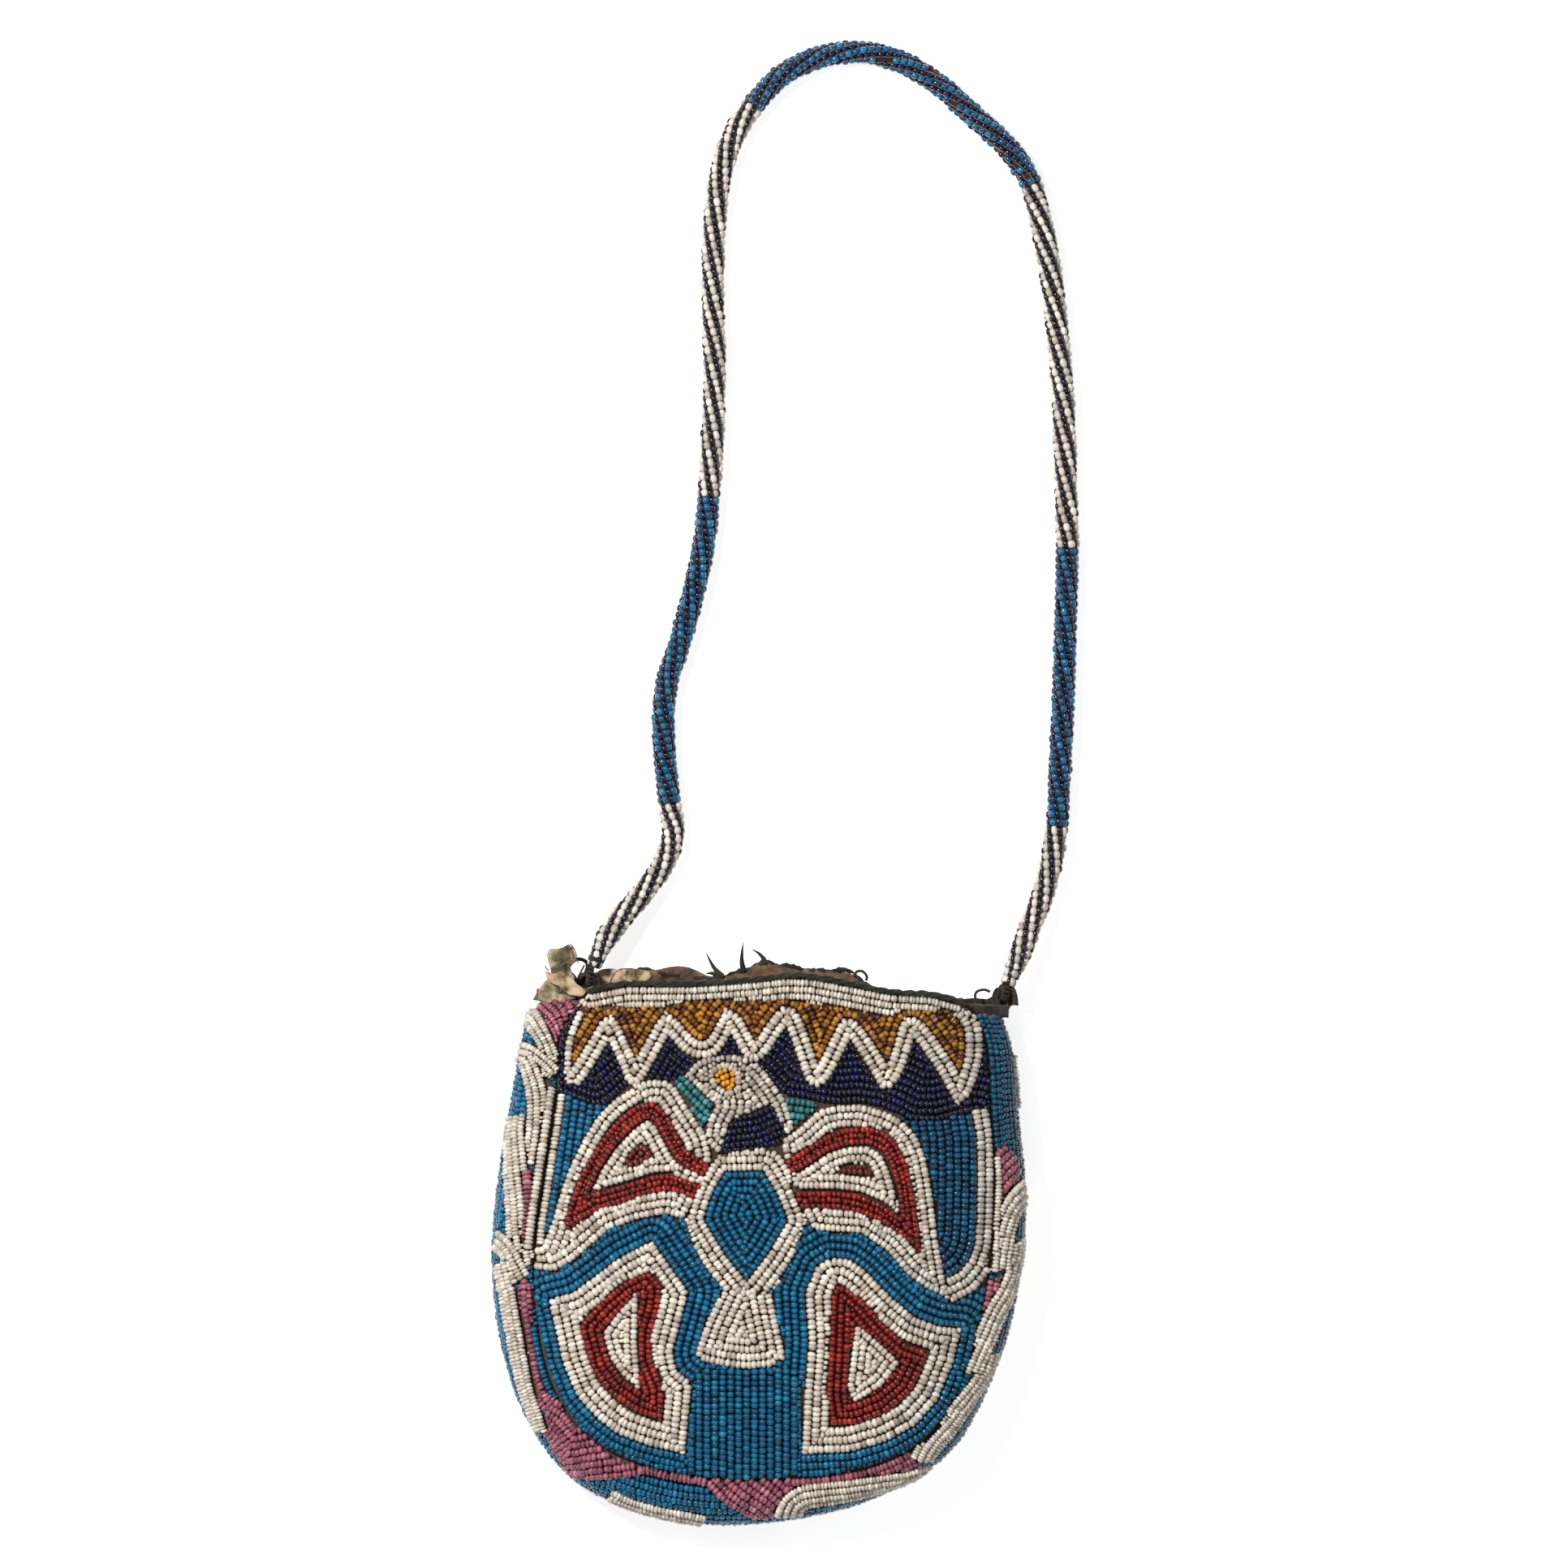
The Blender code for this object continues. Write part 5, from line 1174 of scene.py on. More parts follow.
def make_band_beads():
    """Beads of the side band: blue rows along it, with fields and strings of other beads over them."""
    chart = Map((0, 0), (BAND.u[-1], BAND_MAP_WIDTH), BAND.place, -1)
    chart.owner[:] = 0
    fields = band_fields()
    for number, (_, loop, _, _, _) in enumerate(fields):
        if number:
            chart.paint(number, loop)
    chart.paint(-1, BAND.from_picture(BAND_BARE_PX))
    rng = np.random.default_rng(12)
    kinds = {}
    for number in [*range(len(fields) - 1, 0, -1), 0]:
        kind, _, guide, start, half = fields[number]
        laid = lay_field(chart, number, [guide], kind, start, rng)
        raised = np.zeros(len(laid))
        if half and laid:
            aside = distance_to(np.array(laid)[:, :2], guide) / half
            raised = STRING_LIFT + STRING_BULGE * np.sqrt(np.clip(1 - aside ** 2, 0, 1))
        found = kinds.setdefault(kind.slot, (kind, [], []))
        found[1].extend(laid)
        found[2].extend(raised)
    starts = [BAND.u[first * FINE_STATIONS] for first in BAND_STARTS] + [BAND.u[-1] + 1]
    for slot, (kind, laid, raised) in kinds.items():
        laid, raised = np.array(laid).reshape(-1, 5), np.array(raised)
        tints = kind.tints(len(laid), rng)
        # Painted shade: the band's blue beads deepen towards the right side.
        if slot == "cerulean_beads":
            across_px = chart.place(laid[:, :2])[:, 0] / PIXEL[0] + ORIGIN_PX[0]
            tints = with_painted_shade(tints, across_px, BAND_PAINTED_SHADE)
        for node, low, high in zip(BAND_NODES, starts, starts[1:]):
            here = (laid[:, 0] >= low) & (laid[:, 0] < high)
            if here.any():
                name = row_piece_name(node, slot)
                obj = beads_from(name, chart, laid[here], kind, tints[here], rng, lifts=raised[here])
                finish_piece(obj, "pouch", node)


def inner_line(line, distance, middle):
    """The line moved by a distance to the side on which a place in the middle lies."""
    middle = np.array([middle], float)
    moved = offset_line(line, distance)
    if distance_to(middle, moved)[0] > distance_to(middle, line)[0]:
        moved = offset_line(line, -distance)
    return moved


def make_back_beads():
    """Plain blue rows across the back, which the photograph doesn't show."""
    back = spline(WIDEST_PX, SEAM_STEPS)
    inset = BACK_SEAM_INSET / PIXEL.mean()
    loop = inner_line(back, inset, POUCH_MIDDLE_PX)
    chart = Map(FRONT_LOW_PX, FRONT_HIGH_PX, back_place, 1)
    chart.paint(0, loop)
    rng = np.random.default_rng(13)
    low, high = (corner.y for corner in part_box("back_cloth"))
    pitch = (high - low) / round((high - low) / BACK_ROW_PITCH) / PIXEL[1]
    kind = BLUE.sized(pitch)
    bottom = ORIGIN_PX[1] - low / PIXEL[1]
    guide = np.array([[FRONT_LOW_PX[0], bottom], [FRONT_HIGH_PX[0], bottom]])
    laid = chart.lay(0, chart.contours(0, [guide], pitch, 0), kind, rng)
    tints = kind.tints(len(laid), rng)
    obj = beads_from(row_piece_name("back_beads", kind.slot), chart, laid, kind, tints, rng, PLAIN_BEAD)
    finish_piece(obj, "pouch", "back_beads")


POUCH_MIDDLE_PX = (935, 1540)
BACK_ROW_PITCH = 0.0022

# Strap: where its hinge crosses each end, and its route in sections of one pair of colours
LEFT_END_PX = (727, 1201)
RIGHT_END_PX = (1239, 1219)
STRAP_SECTIONS_PX = (
    (LEFT_END_PX, (745, 1160), (768, 1128), (792, 1100), (818, 1062), (829, 1028), (825, 990)),
    ((825, 990), (818, 920), (820, 850), (838, 790), (857, 720), (868, 665), (873, 612)),
    ((873, 612), (878, 540), (880, 450), (878, 360), (880, 280), (887, 220), (903, 168), (928, 130)),
    ((928, 130), (970, 88), (1035, 65), (1095, 71), (1150, 100), (1200, 143), (1243, 184), (1270, 228)),
    ((1270, 228), (1290, 310), (1302, 400), (1310, 500), (1313, 595), (1315, 675)),
    ((1315, 675), (1313, 760), (1310, 860), (1306, 945), (1302, 1018)),
    ((1302, 1018), (1290, 1085), (1268, 1145), (1251, 1190), RIGHT_END_PX),
)
STRAP_DIAMETER = 0.0068
STRAP_AXIS_HEIGHT = 0.009
STRAP_FLOOR_CLEARANCE = 0.0001
STRAP_SLOPE_LENGTH = 0.034
STRAP_END_GAPS = (0.0024, 0.0013)
STRAP_GATHER_LENGTH = 0.011
STRAP_GATHER_REACH = 0.0014
STRAND_REACH = 0.00248
STRAND_LAY = 0.062
STRANDS = 10
CORE_REACH = 0.0022
# Width and pitch of the beads on each strand, and the share of the pitch that a bead fills
WHITE_STRAND = (0.00194, 0.0023, 0.98)
BLUE_STRAND = (0.00195, 0.00215, 0.95)
NAVY_STRAND = (0.0017, 0.0021, 0.93)
THREAD_REACH = 0.0027
THREAD_RADIUS = 0.00013
THREAD_WANDER = 0.00012
THREAD_STEP = 0.0012
# How far the strap's beads stray, as shares of their size and as a length, and the points of each strand's
# fine line and the steps between the route's points on the strap's centre line
STRAND_LENGTH_VARIETY_SHARE = 0.07
STRAND_WIDTH_VARIETY_SHARE = 0.06
STRAND_END_SHARE = 0.1
STRAND_STRAY = 0.0001
STRAND_POINTS = 400
STRAP_STEPS = 12
FRAME_REACH = 0.0015
# Section whose threads show pale between its strands
TAN_SECTION = 3
STRAP_BLUE = Kind("cerulean_beads", 8, 7, STRAP_BLUE_TINTS)
STRAP_NAVY = Kind("navy_beads", 7, 7, STRAP_NAVY_TINTS)
STRAP_DARK = Kind("navy_beads", 7, 7, STRAP_DARK_TINTS)
STRAP_KINDS = ((STRAP_NAVY, STRAP_BLUE), (STRAP_DARK, CREAM))
# Places where beads are lost and the bare thread shows
LOST_BEADS_PX = ((1088, 75), (1150, 91), (1175, 126), (1233, 183), (1247, 208), (1261, 219))
LOST_REACH = 0.0015


def strap_line():
    """The strap's smooth centre line and the length along it at which each section starts and ends."""
    route = [np.append(at(STRAP_SECTIONS_PX[0][0]), STRAP_AXIS_HEIGHT)]
    marks = [0]
    for section in STRAP_SECTIONS_PX:
        for place in section[1:]:
            route.append(np.append(at(place), 0))
        marks.append(len(route) - 1)
    line = spline(np.array(route), STRAP_STEPS)
    along = lengths_along(line[:, :2])
    floor = STRAP_DIAMETER / 2 + STRAP_FLOOR_CLEARANCE
    rise = 1 - smooth(np.minimum(along, along[-1] - along) / STRAP_SLOPE_LENGTH)
    line[:, 2] = floor + (STRAP_AXIS_HEIGHT - floor) * rise
    lengths = lengths_along(line)
    return line, [lengths[mark * STRAP_STEPS] for mark in marks]


def round_frames(line, distances):
    """Points along a line, with directions along it, level aside it and upright to both."""
    points = point_at(line, distances)
    along = unit(point_at(line, distances + FRAME_REACH) - point_at(line, distances - FRAME_REACH))
    aside = unit(np.cross(along, UP))
    return points, along, aside, np.cross(aside, along)


def strand_points(line, distances, phase, reach):
    """A strand wound round the strap, drawn in at both ends."""
    points, _, aside, upright = round_frames(line, distances)
    turn = (phase + distances / STRAND_LAY) * 2 * math.pi
    total = lengths_along(line)[-1]
    from_end = np.minimum(distances - STRAP_END_GAPS[0], total - STRAP_END_GAPS[1] - distances)
    drawn = (reach - STRAP_GATHER_REACH) * (1 - smooth(from_end / STRAP_GATHER_LENGTH))
    reach = (reach - drawn)[:, None]
    return points + reach * (aside * np.cos(turn)[:, None] + upright * np.sin(turn)[:, None])


def strand_beads(line, start, end, strand, cream, rng):
    """The beads of one strand in one section: their kind, and the arrays that say how they lie."""
    bright = strand % 2 == 0
    kind = STRAP_KINDS[cream][bright]
    width, length, filled = (WHITE_STRAND if cream else BLUE_STRAND) if bright else NAVY_STRAND
    fine = np.linspace(start, end, STRAND_POINTS)
    path = strand_points(line, fine, strand / STRANDS, STRAND_REACH)
    along = lengths_along(path)
    count = int((along[-1] - length * STRAND_END_SHARE) / length)
    lengths = length * (1 + STRAND_LENGTH_VARIETY_SHARE * rng.normal(size=count))
    lengths *= along[-1] / lengths.sum()
    middles = np.cumsum(lengths) - lengths / 2
    centres = point_at(path, middles)
    axis = unit(point_at(path, middles + length / 4) - point_at(path, middles - length / 4))
    core = point_at(line, np.interp(middles, along, fine))
    normal = unit(centres - core)
    side = unit(np.cross(normal, axis))
    normal = np.cross(axis, side)
    widths = width * (1 + STRAND_WIDTH_VARIETY_SHARE * rng.normal(size=count))
    sizes = np.column_stack([lengths * filled / 2, widths / 2, widths / 2])
    centres = centres + normal * (STRAND_STRAY * rng.normal(size=count))[:, None]
    tints = kind.tints(count, rng)
    gap = np.linalg.norm(centres[:, None, :2] - at(LOST_BEADS_PX)[None], axis=2).min(1)
    kept = (gap > LOST_REACH) | (normal[:, 2] < 0) | (not bright)
    return kind, [part[kept] for part in (centres, axis, side, normal, sizes, tints)]


def section_threads(line, start, end, rng):
    """Threads that wander a little between the strands of one section."""
    distances = np.linspace(start, end, round((end - start) / THREAD_STEP))
    lines = []
    for strand in range(STRANDS):
        place = strand_points(line, distances, (strand + 0.5) / STRANDS, THREAD_REACH)
        wander = np.cumsum(rng.normal(size=place.shape), axis=0)
        wander -= np.linspace(0, 1, len(place))[:, None] * wander[-1]
        lines.append(place + THREAD_WANDER * np.sin(wander))
    return lines


def make_strap():
    """Strings of beads and threads round the rope, section by section, and the eye at each end."""
    line, marks = strap_line()
    total = marks[-1]
    rng = np.random.default_rng(14)
    pieces = {}
    low, high = STRAP_END_GAPS[0], total - STRAP_END_GAPS[1]
    bounds = [(max(a, low), min(b, high)) for a, b in zip(marks, marks[1:])]
    for number, (start, end) in enumerate(bounds):
        for strand in range(STRANDS):
            kind, parts = strand_beads(line, start, end, strand, number % 2 == 0, rng)
            pieces.setdefault((number, kind.slot), []).append(parts)
    for (number, slot), parts in pieces.items():
        joined = [np.vstack(arrays) for arrays in zip(*parts)]
        name = f"strap_{number + 1}_" + slot.replace("_beads", "_bead_strings")
        obj = bead_object(name, *joined, BEAD_MATERIALS[slot])
        finish_piece(obj, "strap", f"strap_section_{number + 1}")
    for number, (start, end) in enumerate(bounds):
        material = TAN_THREAD if number == TAN_SECTION else BROWN_THREAD
        lines = section_threads(line, start, end, rng)
        obj = strand_tube(f"strap_{number + 1}_threads", lines, THREAD_RADIUS, material, 1)
        finish_piece(obj, "strap", f"strap_section_{number + 1}")
    core = rope(line, total)
    finish_piece(core, "strap", "strap_core")
    start, end = EYE_GAP, total - EYE_GAP
    for side, place in (("left", line[0]), ("right", line[-1])):
        finish_piece(eye(side, place), "strap", f"{side}_strap_eye")


EYE_GAP = 0.0037
ROPE_SIDES = 20
ROPE_STEP = 0.0016
ROPE_PLIES = 10
ROPE_COVER = 0.00012
ROPE_GROOVE = 0.0001


def rope(line, total):
    """The rope under the beads: a closed tube with the lay of its plies pressed into it."""
    count = round((total - 2 * EYE_GAP) / ROPE_STEP)
    distances = np.linspace(EYE_GAP, total - EYE_GAP, count)
    points, _, aside, upright = round_frames(line, distances)
    turn = around(ROPE_SIDES)
    lay = distances[:, None] / STRAND_LAY * 2 * math.pi
    groove = ROPE_GROOVE * np.cos(ROPE_PLIES * (turn[None] - lay))
    reach = (CORE_REACH + ROPE_COVER + groove)[:, :, None]
    rings = points[:, None] + reach * (aside[:, None] * np.cos(turn)[:, None]
                                       + upright[:, None] * np.sin(turn)[:, None])
    quads, caps = tube_faces(count, ROPE_SIDES)
    return mesh_object("strap_rope", rings.reshape(-1, 3), quads + caps, DARK_CORD)


def mesh_object(name, vertices, faces, material):
    mesh = bpy.data.meshes.new(name)
    mesh.from_pydata([tuple(v) for v in vertices], [], [tuple(f) for f in faces])
    mesh.shade_smooth()
    mesh.materials.append(material)
    return add_object(name, mesh)


LEAST_WIDTH_SHARE = 0.05


def strand_tube(name, lines, radius, material, resolution=3, widths=None):
    """Round threads along lines, as one curve. Widths are shares of the radius along each line."""
    curve = bpy.data.curves.new(name, "CURVE")
    curve.dimensions = "3D"
    curve.bevel_depth = radius
    curve.bevel_resolution = resolution
    curve.use_fill_caps = True
    for points in lines:
        run = curve.splines.new("POLY")
        run.points.add(len(points) - 1)
        for i, (target, place) in enumerate(zip(run.points, points)):
            target.co = (*place, 1)
            target.radius = 1 if widths is None else max(widths[min(i, len(widths) - 1)], LEAST_WIDTH_SHARE)
    curve.materials.append(material)
    return add_object(name, curve)


# Fastening of the strap's ends
EYE_RING_RADIUS = 0.0023
EYE_CORD_RADIUS = 0.0011
STITCH_SPAN = 0.0068
STITCH_CORNER = 0.0012
STITCH_BEND_SHARE = 0.4
STITCH_LEG = 0.0042
STITCH_LOOPS = 8
STITCH_RADIUS = 0.00028
STITCH_STEPS = 4
# How stitches differ: the least share of the span, their lift and shift, and how their points stray
LEAST_SPAN_SHARE = 0.72
STITCH_SHIFT = 0.0005
SHIFT_OUT_SHARE = 0.6
STRAY_ALONG = 0.0002
STRAY_UP = 0.0001
EYE_THREAD_RADIUS = 0.0003
EYE_TURNS = 14
EYE_POINTS = 224
EYE_RING_POINTS = 33
TAPE_LOW = 0.0051
TAPE_HIGH = 0.0113
LEFT_TAPE_PX = (662, 742)
RIGHT_TAPE_PX = (1188, 1244)
LEFT_TAPE_DEPTH = 0.0033
RIGHT_TAPE_DEPTH = 0.0039


def hinge_frame():
    left = np.append(at(LEFT_END_PX), STRAP_AXIS_HEIGHT)
    right = np.append(at(RIGHT_END_PX), STRAP_AXIS_HEIGHT)
    along = unit(right - left)
    return left, right, along, np.array([-along[1], along[0], 0])


def eye(side, centre):
    """The ring of thread at the strap's end, with thread wound round it."""
    _, _, along, outward = hinge_frame()
    cord = EYE_CORD_RADIUS - EYE_THREAD_RADIUS
    wound = []
    for a in 2 * math.pi * np.arange(EYE_POINTS) / EYE_POINTS:
        b = a * EYE_TURNS
        spoke = outward * math.cos(a) + UP * math.sin(a)
        wound.append(centre + along * cord * math.sin(b) + spoke * (EYE_RING_RADIUS + cord * math.cos(b)))
    wound.append(wound[0])
    ring = [centre + (outward * math.cos(a) + UP * math.sin(a)) * EYE_RING_RADIUS
            for a in np.linspace(0, 2 * math.pi, EYE_RING_POINTS)]
    return strand_tube(f"{side}_wound_eye", [wound, ring], EYE_THREAD_RADIUS, DARK_CORD, 2)


def add_threads(name, lines, radius, material, node, resolution=2, widths=None):
    tube = strand_tube(name, lines, radius, material, resolution, widths)
    finish_piece(tube, "pouch", node)


def stitch(end, along, outward, rng):
    """One loop of thread over the strap's eye, with both its legs in the tape."""
    left_half, right_half = STITCH_SPAN / 2 * rng.uniform(LEAST_SPAN_SHARE, 1, 2)
    lift, aside = rng.uniform(-STITCH_SHIFT, STITCH_SHIFT, 2)
    corner, bend = STITCH_CORNER, STITCH_CORNER * STITCH_BEND_SHARE
    shape = (
        (-left_half, -STITCH_LEG), (-left_half, -STITCH_LEG / 2),
        (-left_half + bend, -corner / 2), (-left_half + corner, 0), (right_half - corner, 0),
        (right_half - bend, -corner / 2), (right_half, -STITCH_LEG / 2), (right_half, -STITCH_LEG),
    )
    points = []
    for a, b in shape:
        place = end + along * (a + STRAY_ALONG * rng.normal()) + outward * (b + aside * SHIFT_OUT_SHARE)
        points.append(place + UP * (lift + STRAY_UP * rng.normal()))
    return spline(points, STITCH_STEPS)


def make_fastenings():
    """The corner tapes, and the stitches that hold the strap's eyes to them."""
    left, right, along, outward = hinge_frame()
    rng = np.random.default_rng(17)
    for side, end, tape_px, depth in (("left", left, LEFT_TAPE_PX, LEFT_TAPE_DEPTH),
                                      ("right", right, RIGHT_TAPE_PX, RIGHT_TAPE_DEPTH)):
        lines = [stitch(end, along, outward, rng) for _ in range(STITCH_LOOPS)]
        half = STITCH_LOOPS // 2
        for part, chosen, material in (("tan", lines[:half], BROWN_THREAD), ("dark", lines[half:], OLIVE)):
            add_threads(f"{side}_{part}_stitches", chosen, STITCH_RADIUS, material, f"{side}_strap_stitching")
        reach = [(at((px, 0))[0] - end[0]) / along[0] for px in tape_px]
        binding = tape(f"{side}_corner_binding", end, along, outward, reach, depth)
        finish_piece(binding, "pouch", f"{side}_corner_tape")


# Points along the tape and round it, the waves of its ripple as height and pace, the part of the
# ripple that its face follows, and how much of the CAD tape's depth and height it fills
TAPE_STATIONS = 25
TAPE_SIDES = 16
TAPE_WAVES = ((0.00025, 1.9), (0.00015, 0.7))
FACE_RIPPLE_SHARE = 0.4
TAPE_DEPTH_SHARE = 0.92
TAPE_HEIGHT_SHARE = 0.96


def tape(name, end, along, outward, reach, depth):
    """A folded tape: its face ripples between its ends, and its edges are rounded."""
    half_depth = depth / 2 * TAPE_DEPTH_SHARE
    half_height = (TAPE_HIGH - TAPE_LOW) / 2 * TAPE_HEIGHT_SHARE
    middle = (TAPE_HIGH + TAPE_LOW) / 2 - STRAP_AXIS_HEIGHT
    vertices = []
    for i, a in enumerate(np.linspace(*reach, TAPE_STATIONS)):
        ripple = sum(height * math.sin(i * pace) for height, pace in TAPE_WAVES)
        for t in around(TAPE_SIDES):
            deep, high = (math.copysign(math.sqrt(abs(w)), w) for w in (math.cos(t), math.sin(t)))
            back = STITCH_LEG + depth / 2 + deep * half_depth + ripple * FACE_RIPPLE_SHARE
            vertices.append(end + along * a - outward * back + UP * (middle + high * half_height + ripple))
    quads, caps = tube_faces(TAPE_STATIONS, TAPE_SIDES)
    return mesh_object(name, vertices, turned_over(quads + caps), OLIVE)


# Cloth, linings and the mouth's edge
LINING_EDGE_PX = (
    (1190, 1243), (1186, 1232), (1148, 1229), (1106, 1226), (1092, 1223), (1070, 1214), (1058, 1206),
    (1047, 1198), (1016, 1196), (994, 1194), (976, 1191), (962, 1188), (945, 1187), (934, 1186),
    (927, 1190), (919, 1195), (906, 1197), (896, 1201), (884, 1204), (871, 1202), (864, 1198),
    (850, 1192), (836, 1190), (818, 1192), (808, 1196), (794, 1195), (782, 1193), (768, 1192),
    (759, 1195), (753, 1203), (749, 1215), (712, 1219), (706, 1227),
)
# Dark rim of the lining, torn threads that stand out of it, and the folds and threads of its corner
RIM_PX = ((784, 1197), (800, 1195), (822, 1201), (845, 1203), (866, 1205), (884, 1205), (897, 1201),
          (908, 1197), (922, 1195), (933, 1187), (948, 1187), (976, 1191), (1000, 1196), (1020, 1196),
          (1047, 1196), (1060, 1207), (1072, 1215), (1092, 1223), (1120, 1227), (1150, 1229), (1186, 1233))
RIM_RADIUS = 0.0006
TORN_THREADS_PX = (
    ((890, 1203), (881, 1194), (875, 1184), (870, 1174)),
    ((916, 1196), (914, 1184), (914.5, 1172), (915.5, 1161)),
    ((943, 1187), (940, 1180), (934, 1174), (926, 1169.5)),
    ((886, 1204), (880, 1200), (874, 1199), (869, 1200)),
)
TORN_THREAD_RADIUS = 0.0009
BACK_EDGE_PX = ((1180, 1241), (1100, 1230), (1000, 1214), (900, 1216), (800, 1222), (725, 1231))
CLOTH_STEP = 0.0028
FOLD_STEP = 0.0006
CORNER_STEP = 0.0008
CLOTH_INSET = 0.0003
# The cloth's outlines are made this much larger while they are cut into faces
CUT_SCALE = 10
CUT_TOLERANCE = 1e-7
# The crumpled strip at the mouth, and its waves: their pace across and along, shift and height
CRUMPLE_START = 0.006
CRUMPLE_SPAN = 0.012
CRUMPLE_WAVES = ((700, 500, 0, 0.0004), (1700, -1100, 1, 0.0002))


def inside_loop(points, loop):
    x, y = points[:, :1], points[:, 1:]
    x1, y1 = loop.T
    x2, y2 = np.roll(loop, -1, axis=0).T
    crosses = (y1 > y) != (y2 > y)
    rise = np.where(y2 == y1, 1, y2 - y1)
    return ((crosses & (x < (x2 - x1) * (y - y1) / rise + x1)).sum(1) % 2).astype(bool)


def cloth_sheet(name, loop, top, thickness, material, step=CLOTH_STEP):
    """A closed sheet of cloth over an outline in metres, hanging a thickness below its top."""
    loop = evenly(closed(loop), step)[:-1]
    low, high = loop.min(0), loop.max(0)
    axes = [np.arange(a, b, step) for a, b in zip(low, high)]
    grid = np.stack(np.meshgrid(*axes), axis=-1).reshape(-1, 2)
    grid = grid[inside_loop(grid, loop)]
    grid = grid[distance_to(grid, closed(loop)) > step / 2]
    points = np.vstack([loop, grid])
    count = len(loop)
    edges = [(i, (i + 1) % count) for i in range(count)]
    found = delaunay_2d_cdt([tuple(p) for p in points * CUT_SCALE], edges, [], 0, CUT_TOLERANCE)
    places = np.array([tuple(p) for p in found[0]]) / CUT_SCALE
    faces = np.array(found[2])
    corners = places[faces]
    keep = inside_loop(corners.mean(axis=1), loop)
    sides = corners[:, 1:] - corners[:, :1]
    turned = sides[:, 0, 0] * sides[:, 1, 1] - sides[:, 0, 1] * sides[:, 1, 0] < 0
    faces[turned] = faces[turned][:, ::-1]
    faces = [tuple(int(i) for i in face) for face in faces[keep]]
    heights = top(places)
    total = len(places)
    upper, lower = np.column_stack([places, heights]), np.column_stack([places, heights - thickness])
    borders = {(a, b) for face in faces for a, b in zip(face, face[1:] + face[:1])}
    walls = [(b, a, a + total, b + total) for a, b in borders if (b, a) not in borders]
    under = [tuple(i + total for i in reversed(face)) for face in faces]
    return mesh_object(name, np.vstack([upper, lower]), faces + under + sorted(walls), material)


# Thickness, material and slot of the two layers of cloth
CLOTH_LAYERS = {
    "backing": (CLOTH_THICKNESS, DARK_CLOTH, "dark_cloth"),
    "lining": (LINING_THICKNESS, COTTON, "cotton_lining"),
}
BACK_CLOTH_TOP = CLOTH_TOP + CLOTH_THICKNESS


def make_cloth():
    """The backing and lining of the front, of the back and of the side band."""
    seam = offset_line(SEAM, -CLOTH_INSET)
    widest = spline(at(WIDEST_PX), STATIONS_PER_SPAN)
    back = offset_line(offset_line(widest, -BACK_SEAM_INSET), -CLOTH_INSET)
    front_loop = np.vstack([seam, at(FRONT_EDGE_PX)])
    lining_loop = np.vstack([seam, at(LINING_EDGE_PX)])
    back_loop = np.vstack([back, at(BACK_EDGE_PX)])
    for name, loop, top, node in (
        ("front_backing_cloth", front_loop, lambda p: front_height(p) - CLOTH_TOP, "front_cloth"),
        ("front_lining_cloth", lining_loop, lining_height, "front_lining"),
        ("back_backing_cloth", back_loop, lambda p: np.full(len(p), BACK_CLOTH_TOP), "back_cloth"),
        ("back_lining_cloth", back_loop, lambda p: np.full(len(p), WALL), "back_lining"),
    ):
        thickness, material, slot = CLOTH_LAYERS[name.split("_")[1]]
        obj = cloth_sheet(name, loop, top, thickness, material)
        finish_piece(obj, "pouch", node)
    for name, drop, node in (
        ("side_backing_cloth", CLOTH_TOP, "side_band_cloth"),
        ("side_lining_cloth", LINING_TOP, "side_lining"),
    ):
        thickness, material, slot = CLOTH_LAYERS[name.split("_")[1]]
        obj = band_sheet(name, drop, thickness, material)
        finish_piece(obj, "pouch", node)


def crumple(points):
    """Small folds of the lining near the mouth, in metres."""
    x, y = points.T
    near = smooth((y - MOUTH_Y + CRUMPLE_START) / CRUMPLE_SPAN)
    return near * sum(height * np.sin(x * across + y * along + shift)
                      for across, along, shift, height in CRUMPLE_WAVES)


def lining_height(points):
    """The top of the front's lining."""
    return front_height(points) - LINING_TOP + crumple(points)


def band_sheet(name, drop, thickness, material):
    """A closed sheet a drop below the band: flat rings along it, with a strip of faces at each end."""
    upper, lower = (BAND.places - BAND.outward * depth for depth in (drop, drop + thickness))
    rows, columns = BAND.places.shape[:2]
    sides = 2 * columns
    last = (rows - 1) * sides
    faces = turned_over(tube_faces(rows, sides)[0])
    for a in range(columns - 1):
        b = sides - 1 - a
        faces.append((a, b, b - 1, a + 1))
        faces.append((last + a, last + a + 1, last + b - 1, last + b))
    rings = np.concatenate([upper, lower[:, ::-1]], axis=1)
    return mesh_object(name, rings.reshape(-1, 3), faces, material)


EDGE_BINDING_WIDTH = 0.0018
EDGE_BINDING_DROP = 0.0004
EDGE_STEP = 0.001
EDGE_STRAY = 0.00012
EDGE_TURN = 0.55
EDGE_PLIES = 3
EDGE_PLY_REACH = 0.0004
EDGE_PLY_RADIUS = 0.00052
RIM_STEP = 0.0008
RIM_STRAY = 0.00015
# How the rim's width swells: by a wave of this share and pace, and at random by this share
RIM_SWELL_SHARE = 0.3
RIM_SWELL_PACE = 0.7
RIM_UNEVEN_SHARE = 0.2
TORN_RISE = 0.0015
TORN_TIP_SHARE = 0.1
CURLED_THREAD_RADIUS = 0.0004
EDGE_STEPS = 4
THREAD_STEPS = 5
CURL_STEPS = 6
